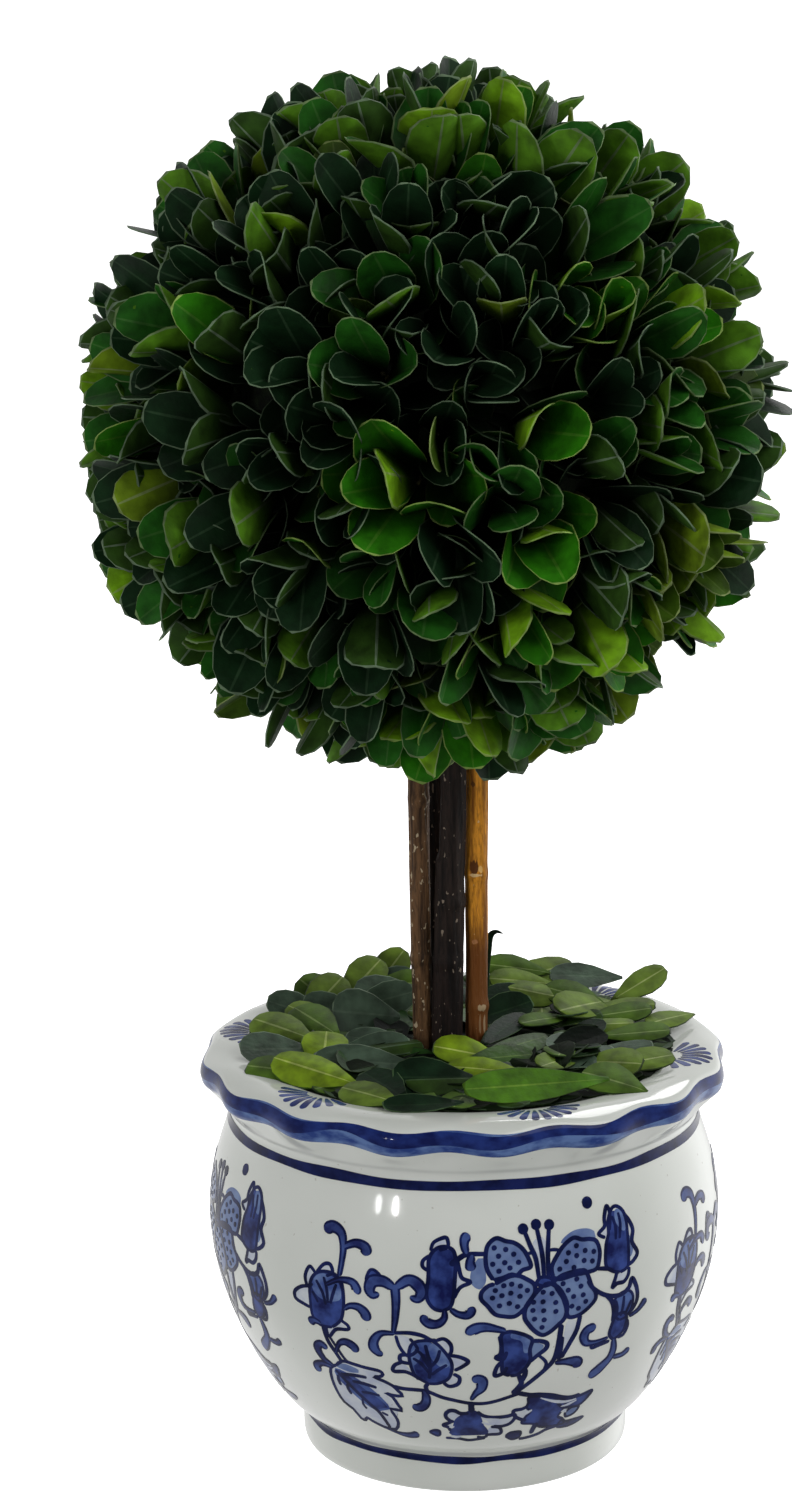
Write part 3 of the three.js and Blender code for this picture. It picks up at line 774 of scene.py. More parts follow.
LOW_FLOWERS = (
    ("petal", (0.8,), (0, 22), (-2, 21.9), (-3.5, 22.6), (-4.8, 22.6), (-5.8, 21.8), (-5.8, 20.8),
     (-4.8, 19.9), (-3.8, 19.6)),
    ("petal", (0.75,), (-4.4, 19.6), (-5.4, 19.2), (-6.7, 18.6), (-5.4, 18), (-5, 17)),
    ("petal", (0.75,), (2.2, 22.4), (3.4, 21.4), (5.2, 20.8), (7.6, 20.6), (10, 20.7), (11.8, 21),
     (12.1, 20), (11, 18.6), (8.8, 18), (6.6, 18.2)),
    ("petal", (0.7,), (6, 18), (8, 17.8), (8.9, 17), (8.8, 15.9), (6.4, 15.8), (4.6, 15.8)),
    ("deep", (), (0.6, 22.8), (-1.4, 21.9), (-3.6, 20.2), (-4.2, 18.2), (-5.3, 16.8), (-4.8, 15.8),
     (-2, 15.7), (1.4, 15.8), (5.2, 15.9), (5.4, 17), (4, 18.6), (3.4, 20.4), (2.4, 22.2)),
    ("gleam", (0.7,), (3.2, 20.8), (5, 20.2), (8, 20.1)),
    ("gleam", (0.6,), (3.4, 19.4), (5.4, 18.8), (7, 18.9)),
    ("gleam", (0.7,), (-5, 15.4), (-3.4, 15.3), (-2, 15.4)),
    ("gleam", (0.6,), (-5.2, 18.2), (-4.4, 18.1), (-3.8, 18.4)),
    ("line", (0.6,), (-6.4, 14.9), (-3, 14.8), (0, 14.3), (2.4, 14.5), (4.8, 14.8)),
    ("line", (0.6,), (2.4, 15.3), (4, 15), (5.4, 15.4)),
    ("deep", (0.6,), (-10.8, 16.4), (-9.4, 17), (-8, 16.9), (-7.9, 15.9), (-8.8, 15.5)),
    ("petal", (0.75,), (15, 22.9), (13.6, 22.3), (11.5, 22), (12, 20.6), (13.6, 19.6), (15.4, 19)),
    ("deep", (0.6,), (14.6, 25.2), (17.5, 25.2), (21, 24.4), (25, 22.9), (25.4, 20.6), (24.6, 18.8),
     (26.4, 17.8), (27.4, 16.4), (24, 16.3), (20.5, 16.5), (17.6, 17.8), (14.4, 18.4), (15, 20),
     (16, 21.4), (14.8, 22.6), (15, 23.8)),
    ("deep", (0.7,), (21.6, 24.6), (24, 23.7), (26.5, 23.3), (29.2, 23.4), (32.6, 24), (31.8, 22.2),
     (30, 20.8), (27.4, 20.8), (24.6, 21.4)),
    ("line", (1.1, 1.0, 1.0, 1.1), (12, 26.6), (15, 25.8), (17.5, 25.6), (21, 24.9), (24, 23.9),
     (26.5, 23.4), (29.2, 23.6)),
    ("pale", (0.6,), (26.4, 19.4), (28, 20.6), (30.2, 20.4), (29.6, 18.8), (27.4, 18.2)),
    ("gleam", (0.8,), (18, 24.7), (21.5, 23.4), (25.3, 22.6), (28.4, 22.8)),
    ("gleam", (0.7,), (24.4, 21.5), (26.4, 21.7), (28.7, 22.4)),
    ("gleam", (0.9,), (13.4, 21.2), (15, 21.2), (16.4, 21.8)),
    ("gleam", (0.8,), (25, 19.9), (26, 20.2), (26.6, 19.6)),
    ("deep", (0.6,), (26.2, 17.6), (28, 16.8), (30.6, 16.9), (33.6, 16.8), (31.3, 15.5), (28.5, 15.2),
     (25.6, 15.8)),
    ("line", (0.9, 0.8, 0.7), (25.4, 16), (22.6, 15.5), (20.3, 14.5), (17.4, 13.9), (14.8, 13.7)),
    ("line", (1.4, 1.3, 1.2), (18.8, 18), (18.2, 16.4), (18, 14.9)),
    ("deep", (0.6,), (10.5, 15), (11.8, 15.9), (14.6, 15.9), (14.6, 14.3), (12.6, 13.9)),
)
RIGHT_BUDS = (
    ("petal", (0.7,), (31.3, 57.8), (29.7, 58.8), (31.4, 60), (31.6, 61.6), (32.6, 63.6), (33.2, 62.4),
     (32.6, 59)),
    ("petal", (0.8,), (36.8, 61.6), (38.1, 60), (38.9, 58), (38.3, 55.8), (39.6, 53.4), (38.4, 52),
     (36.8, 51.4)),
    ("petal", (0.75,), (37.1, 51), (36.9, 49.4), (35.7, 48.2), (33.9, 48.2), (32.7, 47.6), (33.4, 49.4),
     (33.8, 50.6)),
    ("deep", (0.7,), (34.6, 50.4), (32.6, 51), (31, 52.4), (31.2, 56), (32.2, 58.5), (32.5, 61),
     (34, 63), (35.7, 63), (37.2, 61.2), (37.3, 57), (37, 52), (36.2, 50.8)),
    ("thin", (), (34.6, 60), (34.4, 62), (35.4, 62.7), (36.6, 61.4), (36.9, 58.6), (36, 58.4)),
    ("line", (0.6,), (34, 57), (34.2, 59.6), (33.6, 61.6)),
    ("line", (0.6,), (35, 57), (35.6, 59.8), (35.4, 62)),
    ("pale", (), (37.4, 53), (37.5, 56.8), (38.3, 56.6), (38.4, 54)),
    ("dots", (1.15,), (27.8, 65)),
    ("line", (0.75,), (28.6, 52.2), (31, 51.8), (32.6, 51.2)),
    ("petal", (0.85,), (26.4, 50.2), (27.6, 48.5), (30, 46.8), (32.6, 45.8), (35.2, 45.6), (37.2, 46.6),
     (38, 48.4), (39.4, 46.4), (40, 44), (39.4, 42.2), (37.6, 40.6)),
    ("mid", (0.6,), (35.4, 40), (33.6, 41.6), (33.4, 44.4), (34.8, 45.8), (37.2, 46), (38.6, 44.6),
     (38.6, 42.2), (37.2, 40.4)),
    ("deep", (0.7,), (34.6, 35.8), (33.2, 37.2), (33.4, 39.2), (34.4, 41.2), (36.6, 41.4), (37.6, 39.6),
     (36.8, 37)),
    ("line", (0.6,), (34.4, 40.6), (34.4, 42.8), (33.8, 44.6)),
    ("line", (0.6,), (35.6, 40.8), (36, 43), (36, 45.2)),
    ("line", (0.6,), (36.8, 40.8), (37.6, 42.4), (38.2, 43.8)),
    ("petal", (0.65,), (37.8, 39.6), (38.2, 38), (37.4, 36.3), (35.8, 36)),
    ("line", (0.9,), (31, 46.4), (32.8, 44.6), (33.6, 42.4), (33.6, 40)),
    ("curl", (0.9, 1.2, 1.8), (38.2, 40.2), (40.8, 41.1), (42.8, 43)),
    ("curl", (2.2, 2.2, 1.2, 0.8), (29.2, 39.9), (27.2, 39.5), (26.4, 38.2), (27.2, 36.6), (29.6, 36.2),
     (33, 36.6)),
    ("line", (0.75,), (28.6, 36.2), (29, 35.1), (31, 35.4), (33.6, 35.7)),
    ("curl", (1.2, 1.8, 2.1, 2.7, 2.4), (34.7, 35.9), (35.3, 33.6), (35, 31.6), (33.4, 30),
     (31.6, 28.7), (30, 28)),
    ("curl", (1.2, 1.4, 1.8), (36, 31.4), (38.8, 31.4), (40.6, 32.4)),
)

FLOWERS = (LEFT_BUD, TRIDENT, ROSETTE, TALL_BUD, GREAT_FLOWER, TULIP, LOW_FLOWERS, RIGHT_BUDS)
for k in range(VINES):
    for kind, widths, *points in (row for flower in FLOWERS for row in flower):
        HAND[kind]([(360 / VINES * k + across, height) for across, height in points], widths)

others = {"lines": lines, "knobs": knobs, "dots": dots, "gleams": gleams}
for name, strokes in {**washes, **others}.items():
    strokes.make("paint_" + name)


# The foam in the pot
# A plug of dry flower foam pressed into the pot, which grips the sticks. Only specks of it
# show between the loose leaves.


def mottled(scale, dark, light, rough, bump=None):
    """A look mottled between two colours by a noise that also roughens it, and raises it where
    there is a bump."""

    def look(place):
        grain = place.noise(scale)
        links = {
            "Base Color": grain.tint((0.35, linear(*dark)), (0.7, linear(*light))),
            "Roughness": grain * rough[0] + rough[1],
        }
        if bump:
            links["Bump"] = (*bump, grain)
        return links

    return look


foam_look = mottled(700, (44, 42, 24), (88, 84, 52), (0.1, 0.85), (0.6, 0.001))
foam = material("fill_foam", foam_look)
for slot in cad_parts["pot_fill"].material_slots:
    slot.material = foam


# The four sticks
# Cut lengths of thin branch with their bark on, pushed into the foam side by side: one brown
# with pale breathing pores, two nearly black, and one scraped to tan wood at its top.

BALL_CENTRE = np.array([-5.6, 0.0, 209.8])
BALL_RADIUS = 70.2
CORE_CUT = 47.0
STEM_FOOT = 76.3
STEM_GAP = 0.3
STEM_TIP = BALL_CENTRE[2] - CORE_CUT - STEM_GAP
STEM_ROWS = 150
STEM_COLUMNS = 44

# Each row is a stick's foot and tip, its radii there, its bark, its kink, and its knots: a share
# of its height and a direction in degrees.
STEMS = {
    "stem_left": ((-8.1, -1.5), (-8.95, -1.5), (1.95, 2.15), "bark_brown", 0.0, ((0.68, -70), (0.3, -110))),
    "stem_back": ((-5.4, 4.2), (-5.6, 4.6), (2.0, 2.1), "bark_dark", 0.0, ((0.4, 90),)),
    "stem_centre": ((-3.2, -3.2), (-1.15, -3.2), (2.75, 2.4), "bark_dark", 0.6, ((0.44, -60), (0.3, -120))),
    "stem_right": ((2.65, -0.5), (3.2, -0.5), (2.15, 2.35), "bark_tan", 0.0, ((0.18, -50), (0.5, -100))),
}
SCAR_FACE = -2.9
KINK_SHARE = 0.55
BARK_CHANGE = (103, 110)


def bark_look(low, high, dark, spot, spots, marks):
    """Bark in long streaks, which changes colour at a height, with pale pores scattered over it.
    A mark is a spot of one colour inside an ellipse, its edge frayed by the fine noise."""

    def look(place):
        streak = place.noise(800, 4, (1, 1, 0.07))
        fine = place.noise(2200, 3, (1, 1, 0.22))
        height = place.node("SeparateXYZ", None, {0: place}, output=2) + streak * 0.012 - 0.006
        change = {"From Min": BARK_CHANGE[0] * MM, "From Max": BARK_CHANGE[1] * MM}
        bark = height.node("MapRange", None, {"Value": height, **change}).over(linear(*low), linear(*high))
        shade = streak.tint((0.38, (1, 1, 1)), (0.56, (0, 0, 0)))
        grain = fine.tint((0.36, (1, 1, 1)), (0.52, (0, 0, 0)))
        worn = (grain * 0.45).over((shade * 0.85).over(bark, linear(*dark)), linear(*dark))
        pores = place.noise(1300, 1, (1, 1, 0.5)).tint((spots, (0, 0, 0)), (spots + 0.03, (1, 1, 1)))
        colour = (pores * 0.75).over(worn, linear(*spot))
        for x, z, wide, tall, tone in marks:
            scale = np.array([1 / wide, 1 / 3, 1 / tall]) / MM
            shift = -np.array([x, SCAR_FACE, z]) * MM * scale
            at = place.node("Mapping", None, {"Vector": place, "Location": shift, "Scale": scale})
            away = at.node("VectorMath", {"operation": "LENGTH"}, {0: at}, output=1) + fine * 1.2 - 0.6
            colour = away.tint((0.8, (1, 1, 1)), (1.0, (0, 0, 0))).over(colour, linear(*tone))
        return {
            "Base Color": colour,
            "Roughness": fine * 0.25 + 0.55,
            "Bump": (0.6, 0.0005, fine + streak),
        }

    return look


# Each mark is its place to the right and up, its half width and half height, and its colour.
SCARS = (
    (2.3, 121, 0.9, 1.5, (96, 54, 18)),
    (2.5, 119.4, 1.3, 0.35, (232, 196, 140)),
    (3.6, 120.6, 0.45, 0.8, (238, 190, 112)),
    (2.2, 138, 0.5, 0.6, (92, 56, 20)),
    (3.9, 91.7, 0.9, 0.8, (182, 158, 122)),
    (3.4, 88.2, 0.25, 2.4, (150, 118, 84)),
    (4.3, 88.0, 0.25, 2.6, (172, 146, 112)),
    (2.4, 105.5, 0.6, 0.5, (176, 120, 76)),
)

# Each row is the bark's colour low down, high up, in its grooves and at its pores, how rare the
# pores are, its marks, and its shine.
BARKS = {
    "bark_brown": ((112, 82, 54), (116, 84, 56), (34, 22, 15), (206, 188, 156), 0.66, (), 0.25),
    "bark_dark": ((40, 30, 27), (46, 36, 32), (12, 9, 9), (158, 142, 126), 0.7, (), 0.2),
    "bark_tan": ((120, 74, 34), (232, 156, 48), (112, 62, 20), (222, 196, 150), 0.74, SCARS, 0.25),
}
barks = {
    name: material(name, bark_look(*look), Specular_IOR_Level=shine)
    for name, (*look, shine) in BARKS.items()
}


def stick_middle(foot, tip, share):
    """The middle of a stick at a share of its height."""
    return (low + (high - low) * share for low, high in zip(foot, tip))


def stick(foot, tip, radii, kink, knots, seed):
    """A tapering rod, its radius swollen by slow waves and cut by shallow grooves that run along
    it and drift round, and by knots where twigs were cut off. Where it has a kink, its left side
    stands out below it."""
    draw = np.random.default_rng(seed)
    turn = (np.arange(STEM_COLUMNS) * 2 * math.pi / STEM_COLUMNS)[None, :]
    rise = np.linspace(0, 1, STEM_ROWS)[:, None]
    radius = radii[0] + (radii[1] - radii[0]) * rise
    groove = sum(
        draw.uniform(0.02, 0.05)
        * np.sin(n * (turn + 0.7 * np.sin(3 * rise + phase)) + 0.9 * n * rise + phase)
        for n, phase in zip((3, 5, 9, 13), draw.uniform(0, 6, 4))
    )
    swell = 0.05 * np.sin(draw.uniform(9, 14) * rise + draw.uniform(0, 6)) * np.cos(turn - 6 * rise)
    below = 1 - smooth_share(KINK_SHARE - 0.02, KINK_SHARE + 0.015, rise)
    node = kink * below * (0.5 - 0.5 * np.cos(turn)) ** 2
    for place, side in knots:
        toward = np.cos((turn - math.radians(side)) / 2) ** 6
        node = node + 0.4 * np.exp(-(((rise - place) / 0.014) ** 2)) * (0.2 + toward)
    radius = radius * (1 + 0.6 * groove) + swell + node
    x, y = stick_middle(foot, tip, rise)
    z = STEM_FOOT + (STEM_TIP - STEM_FOOT) * rise + 0 * turn
    return closed_rings(np.stack([x + radius * np.cos(turn), y + radius * np.sin(turn), z], -1))


for seed, (name, (foot, tip, radii, bark, kink, knots)) in enumerate(STEMS.items()):
    rod = stick(foot, tip, radii, kink, knots, 40 + seed)
    rod = piece(name + "_bark", *rod, [barks[bark]], sharp=60)
    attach(rod, "root")
    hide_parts(name)


def near_stick(points, spare):
    """Whether each point is within `spare` of a stick's bark, below the sticks' tips."""
    share = (points[..., 2] - STEM_FOOT) / (STEM_TIP - STEM_FOOT)
    close = np.zeros(share.shape, bool)
    for foot, tip, radii, *_ in STEMS.values():
        x, y = stick_middle(foot, tip, share)
        away = np.hypot(points[..., 0] - x, points[..., 1] - y)
        close |= (away < max(radii) + spare) & (share < 1.01)
    return close


# The ball's core
# A round of foam wrapped in dyed moss, nearly hidden. It is cut flat underneath, where the
# sticks go in.

CORE_RADIUS = 47.0
CORE_ROUGH = 0.8
CORE_SPARE = 0.5


def core_ball(rows=64, columns=128):
    """A sphere whose radius ripples by a product of sines, and whose foot is cut flat."""
    down = (np.arange(rows - 1, 0, -1) * math.pi / rows)[:, None]
    turn = (np.arange(columns) * 2 * math.pi / columns)[None, :]
    ripple = np.sin(13 * down + 2 * np.sin(3 * turn)) * np.sin(11 * turn)
    radius = CORE_RADIUS + CORE_ROUGH * ripple * np.sin(down)
    out = radius * np.sin(down)
    rings = np.stack([out * np.cos(turn), out * np.sin(turn), radius * np.cos(down)], -1)
    points, faces = closed_rings(rings, [(0, 0, -CORE_RADIUS), (0, 0, CORE_RADIUS)])
    points[:, 2] = np.maximum(points[:, 2], CORE_SPARE - CORE_CUT)
    return points + BALL_CENTRE, faces


# Dyed dark green moss, darkened further to near black as painted shade for the hollows between the sprigs
# and between the loose leaves.
moss_and_shade_look = mottled(420, (8, 14, 6), (26, 40, 16), (0.1, 0.85), (0.8, 0.0015))
core = piece("ball_core", *core_ball(), [material("ball_moss", moss_and_shade_look)])
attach(core, "root")
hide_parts("foliage_ball")


# The ball's sprigs
# Tips of common box, kept soft with glycerine and dyed green, then pushed into the core side
# by side. Each twig has crossed pairs of blunt, cupped leaves with a pale edge and midrib.

SPRIGS = 300
SPRIG_RINGS = ((42, 7.4), (26, 3.6), (11, 0.0))
SPRIG_STRAY = 0.06
SPRIG_LEAN = 0.17
SPRIG_DEPTH = (-1.6, 1.2)
SPRIG_SIZE = (0.86, 1.12)
BALL_SPARE = 0.6
TWIG_REACH = 49.5
TWIG_PAST = 1.5
TWIG_SUNK = 5
TWIG_THICK = 0.8
TWIG_CLEAR = 2.0
LEAF_CLEAR = 1.0
TURN_WANDER = 0.35
LEAN_WANDER = 10
ROLL_WANDER = 0.6
LEAF_LENGTH = 20.5
LEAF_WIDTH = 10.6
LEAF_SIZE = (0.88, 1.12)
LEAF_CUP = (-0.08, 0.34)
LEAF_BEND = (-0.2, 0.06)
LEAF_THICK = 0.28
LEAF_EDGE = 0.045
LEAF_WIDEST = 0.62
LEAF_ROWS = np.array([0, 0.16, 0.38, 0.58, 0.76, 0.89, 0.965, 0.985])
LEAF_ARCS = np.array([0, 0, 0, 0, 0, 0.3, 1, 1])
LEAF_COLUMNS = np.array([-1, LEAF_EDGE - 1, -0.05, 0.05, 1 - LEAF_EDGE, 1])
TONE_STEPS = (0.37, 0.7, 0.87)
ODD_TONES = 0.16


def leaf_template():
    """Faces and their kind for one leaf: a grid for the upper side and one for the underside,
    which share the outline. Kinds are 0 upper side, 1 underside, 2 edge, and the midrib: 3
    underneath and 4 above."""
    rows, columns = len(LEAF_ROWS), len(LEAF_COLUMNS)
    upper = np.arange(rows * columns).reshape(rows, columns)
    inner = np.arange((rows - 2) * (columns - 2)).reshape(rows - 2, columns - 2)
    lower = upper.copy()
    lower[1:-1, 1:-1] = rows * columns + inner
    i, j = np.meshgrid(np.arange(rows - 1), np.arange(columns - 1), indexing="ij")
    corners = ((i, j), (i, j + 1), (i + 1, j + 1), (i + 1, j))
    top, under = (np.stack([side[at] for at in corners], -1).reshape(-1, 4) for side in (upper, lower))
    rim = (j == 0) | (j == columns - 2) | (i == rows - 2)
    rib = (j == 2) & (i < rows - 2)
    kinds = [np.where(rib, vein, np.where(rim, 2, side)).ravel() for side, vein in ((0, 4), (1, 3))]
    return np.concatenate([top, under[:, ::-1]]), np.concatenate(kinds)


def leaf_shape(length, width, cup, bend):
    """Points of leaves in their own frames: x across, y along, z out of the upper side. Half the
    width follows a sine up to the widest place and an ellipse past it, and the last rows bow to
    that ellipse, with a shallow notch at the tip. The blade cups by the square of its way
    across, and bends by the square of its way along."""
    t, s, arc = LEAF_ROWS[:, None], LEAF_COLUMNS[None, :], LEAF_ARCS[:, None]
    rising = 0.1 + 0.9 * np.sin(math.pi / 2 * np.clip(t / LEAF_WIDEST, 0, 1)) ** 1.25
    closing = np.sqrt(1 - np.clip((t - LEAF_WIDEST) / (1 - LEAF_WIDEST), 0, 1) ** 2)
    half = np.where(t < LEAF_WIDEST, rising, closing)
    bow = LEAF_WIDEST + (1 - LEAF_WIDEST) * np.sqrt(1 - (half * s) ** 2)
    t = t + arc * (bow - t - 0.016 * np.exp(-((s / 0.3) ** 2)))
    t[-2] -= 0.012
    length, width, cup, bend = (np.asarray(v, float)[:, None, None] for v in (length, width, cup, bend))
    x = 0.5 * width * half * s
    z = cup * width * (s * half) ** 2 + bend * length * t**2 - 0.02 * width * (np.abs(s) < 0.1) * half
    upper = np.stack([x, length * t + 0 * x, z + 0 * x], -1)
    lower = upper[:, 1:-1, 1:-1] - np.array([0, 0, LEAF_THICK])
    count = len(upper)
    return np.concatenate([upper.reshape(count, -1, 3), lower.reshape(count, -1, 3)], axis=1)


def unit(vectors):
    """The vectors' directions."""
    return vectors / np.linalg.norm(vectors, axis=-1, keepdims=True)


def set_leaves(shape, base, along, up):
    """Leaves moved from their own frames to their bases, along their directions."""
    across = unit(np.cross(along, up))
    axes = np.stack([across, along, np.cross(across, along)], axis=1)
    return shape @ axes + base[:, None]


def turn_about(vectors, axes, angle):
    """The vectors turned by the angle about unit axes: what lies along an axis stays, and the rest
    goes round by the angle's cosine and, across, by its sine."""
    c, s = np.cos(angle)[..., None], np.sin(angle)[..., None]
    along = (vectors * axes).sum(-1, keepdims=True) * axes
    return vectors * c + np.cross(axes, vectors) * s + along * (1 - c)


# Painted shade on the ball's leaves: nearer the ball's centre than the first distance their colour is its
# darker tone times the share below, and past the second it is whole.
LEAF_DARK = 54
LEAF_LIT = 67
PAINTED_SHADE_SHARE = 0.35


def leaf_tone(name, upper, under, edge, rib=None, shine=0.12, painted_depth_shade=True):
    """A leaf's five materials. Each is nearly one colour, mottled, with a waxy shine above. On
    the ball a painted shade darkens the colour toward the stalks, by the distance from the ball's
    centre, where the leaves lie in each other's shadow."""

    def look(dark, light, rough):
        def build(place):
            mottle = place.noise(230, 3)
            colour = mottle.tint((0.34, linear(*dark)), (0.68, linear(*light)))
            # Painted shade: the colour darkens toward the ball's centre.
            if painted_depth_shade:
                ends = {0: place, 1: BALL_CENTRE * MM}
                far = place.node("VectorMath", {"operation": "DISTANCE"}, ends, output=1)
                reach = {"Value": far, "From Min": LEAF_DARK * MM, "From Max": LEAF_LIT * MM}
                lit = far.node("MapRange", None, reach)
                colour = lit.over(linear(*(PAINTED_SHADE_SHARE * v for v in dark)), colour)
            return {
                "Base Color": colour,
                "Roughness": mottle * 0.12 + rough,
                "Bump": (0.2, 0.0005, place.noise(900, 2)),
            }

        return build

    rib = rib or edge
    vein = tuple(0.72 * a + 0.28 * b for a, b in zip(upper, rib))
    sides = (
        ("upper", upper, 0.4),
        ("under", under, 0.55),
        ("edge", edge, 0.5),
        ("rib", rib, 0.5),
        ("vein", vein, 0.42),
    )
    shades = []
    for side, colour, rough in sides:
        dark = tuple(v * 0.8 for v in colour)
        light = tuple(min(v * 1.2, 255) for v in colour)
        shades.append(material(f"leaf_{name}_{side}", look(dark, light, rough), Specular_IOR_Level=shine))
    return shades


# Each row is a tone's colour above, underneath and at the edge. In the collar's tones the colour
# of the midrib, where it differs, and the shine follow. Where a collar tone gives its midrib, its
# edge is darker than the blade: a painted shadow round the leaf's rim.
BALL_TONES = {
    "deep": ((21, 46, 24), (48, 78, 26), (102, 122, 96)),
    "mid": ((35, 92, 24), (82, 128, 28), (108, 132, 86)),
    "fresh": ((46, 118, 16), (116, 164, 26), (134, 162, 82)),
    "olive": ((64, 92, 22), (108, 136, 28), (130, 148, 88)),
}
tones = {name: leaf_tone(name, *colours) for name, colours in BALL_TONES.items()}


def make_leaves(name, points, tone, replaced):
    """One mesh of many leaves of one tone."""
    faces, kinds = leaf_template()
    count, per = points.shape[:2]
    numbers = (faces[None] + (np.arange(count) * per)[:, None, None]).reshape(-1, 4)
    made = piece(name, points.reshape(-1, 3), numbers.tolist(), tones[tone], np.tile(kinds, count))
    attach(made, "root")
    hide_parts(replaced)


def even_directions(count):
    """Directions spread evenly over a ball, by the golden angle."""
    i = np.arange(count)
    height = 1 - (2 * i + 1) / count
    ring = np.sqrt(1 - height**2)
    angle = i * math.pi * (3 - math.sqrt(5))
    return np.stack([ring * np.cos(angle), ring * np.sin(angle), height], -1)


draw = np.random.default_rng(20717)
sprig_out = unit(even_directions(SPRIGS) + draw.uniform(-SPRIG_STRAY, SPRIG_STRAY, (SPRIGS, 3)))
sprig_side = unit(np.cross(np.array([0.31, 0.52, 0.79]), sprig_out))
sprig_side = turn_about(sprig_side, sprig_out, draw.uniform(0, math.pi, SPRIGS))
sprig_lean = unit(sprig_out + SPRIG_LEAN * draw.normal(size=(SPRIGS, 3)))
# Painted light: sprigs toward +X and toward the bottom are dealt the lighter tones more often, as if lit,
# and those to the left and top the darker ones.
lit_side_share = np.clip(0.5 + 0.55 * sprig_out[:, 0] - 0.3 * sprig_out[:, 2], 0, 1)
sprig_tone = np.searchsorted(TONE_STEPS, draw.uniform(size=SPRIGS) * (0.5 + 0.65 * lit_side_share))
sprig_depth = draw.uniform(*SPRIG_DEPTH, SPRIGS)
sprig_size = draw.uniform(*SPRIG_SIZE, SPRIGS)

leaf_points, leaf_tones = [], []
for ring, (lean, lower) in enumerate(SPRIG_RINGS):
    for opposite in (0, math.pi):
        turn = opposite + ring * math.pi / 2 + draw.uniform(-TURN_WANDER, TURN_WANDER, SPRIGS)
        away = turn_about(sprig_side, sprig_out, turn)
        tilt = np.radians(lean + draw.uniform(-LEAN_WANDER, LEAN_WANDER, SPRIGS))[:, None]
        along = unit(sprig_lean * np.cos(tilt) + away * np.sin(tilt))
        up = sprig_lean * np.sin(tilt) - away * np.cos(tilt)
        up = turn_about(up, along, draw.uniform(-ROLL_WANDER, ROLL_WANDER, SPRIGS))
        size = sprig_size * draw.uniform(*LEAF_SIZE, SPRIGS)
        base = BALL_CENTRE + sprig_out * (TWIG_REACH - lower - sprig_depth)[:, None]
        shape = leaf_shape(
            LEAF_LENGTH * size,
            LEAF_WIDTH * size * draw.uniform(*SPRIG_SIZE, SPRIGS),
            draw.uniform(*LEAF_CUP, SPRIGS),
            draw.uniform(*LEAF_BEND, SPRIGS),
        )
        placed = set_leaves(shape, base, along, up)
        reach = np.linalg.norm(placed - BALL_CENTRE, axis=-1).max(axis=1)
        over = np.maximum(reach - BALL_RADIUS - BALL_SPARE, 0)
        placed -= sprig_out[:, None] * over[:, None, None]
        keep = ~near_stick(placed, LEAF_CLEAR).any(axis=1)
        leaf_points.append(placed[keep])
        odd = draw.uniform(size=SPRIGS) < ODD_TONES
        tone = np.where(odd, draw.integers(0, len(BALL_TONES), SPRIGS), sprig_tone)
        leaf_tones.append(tone[keep])
leaf_points = np.concatenate(leaf_points)
leaf_tones = np.concatenate(leaf_tones)
for k, tone in enumerate(BALL_TONES):
    chosen = leaf_points[leaf_tones == k]
    make_leaves("ball_leaves_" + tone, chosen, tone, "foliage_ball")


def twigs(root, tip, thick, sides=5):
    """Rods from the roots to the tips, where they are half as thick."""
    along = unit(tip - root)
    side = unit(np.cross(along, np.array([0.3, 0.5, 0.81])))
    over = np.cross(along, side)
    turn = np.arange(sides) * 2 * math.pi / sides
    round_ = np.cos(turn)[None, :, None] * side[:, None] + np.sin(turn)[None, :, None] * over[:, None]
    foot = root[:, None] + thick * round_
    head = tip[:, None] + 0.5 * thick * round_
    points = np.concatenate([foot, head, root[:, None], tip[:, None]], axis=1)
    faces = closed_rings(np.stack([foot[0], head[0]]))[1]
    per = points.shape[1]
    solids = [[v + per * n for v in face] for n in range(len(root)) for face in faces]
    return points.reshape(-1, 3), solids


twig_root = BALL_CENTRE + sprig_out * (CORE_RADIUS - TWIG_SUNK)
twig_tip = BALL_CENTRE + sprig_out * (TWIG_REACH + TWIG_PAST - sprig_depth)[:, None]
clear = ~near_stick(twig_tip, TWIG_CLEAR) & ~near_stick(twig_root, TWIG_CLEAR)
twig_bark = material("twig_bark", mottled(500, (52, 50, 24), (92, 84, 44), (0.2, 0.6)))
rods = twigs(twig_root[clear], twig_tip[clear], TWIG_THICK)
sprig_twigs = piece("ball_twigs", *rods, [twig_bark])
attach(sprig_twigs, "root")
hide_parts("foliage_ball")


# The loose leaves
# Single box leaves scattered and glued over a thin bed of moss, several deep. They hide the
# foam and lie out over the inner edge of the lip.

BED_RADIUS = 39.8
BED_FOOT = 76.4
BED_EDGE = 82.8
BED_CROWN = 84.0
COLLAR_REACH = 44.0
COLLAR_BACK = 2.6


def bed_height(radius):
    """The bed falls from its crown by the square of the radius, and past it the lip's top carries
    the leaves."""
    bed = BED_CROWN - (BED_CROWN - BED_EDGE) * (radius / BED_RADIUS) ** 2
    return np.where(radius < BED_RADIUS, bed, np.maximum(flange_height(radius) + 0.2, BED_EDGE))


bed_rings = np.array([[39.0, BED_FOOT], [39.6, BED_FOOT + 1.1], [39.4, BED_EDGE - 1.2]])
bed_top = np.linspace(38.6, 2, 24)
bed_profile = np.vstack([bed_rings, np.stack([bed_top, bed_height(bed_top) - 1.0], -1)])
bed = piece("collar_bed", *turned_solid(bed_profile, angles[::3]), [material("collar_moss", moss_and_shade_look)])
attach(bed, "root")
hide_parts("leaf_collar")


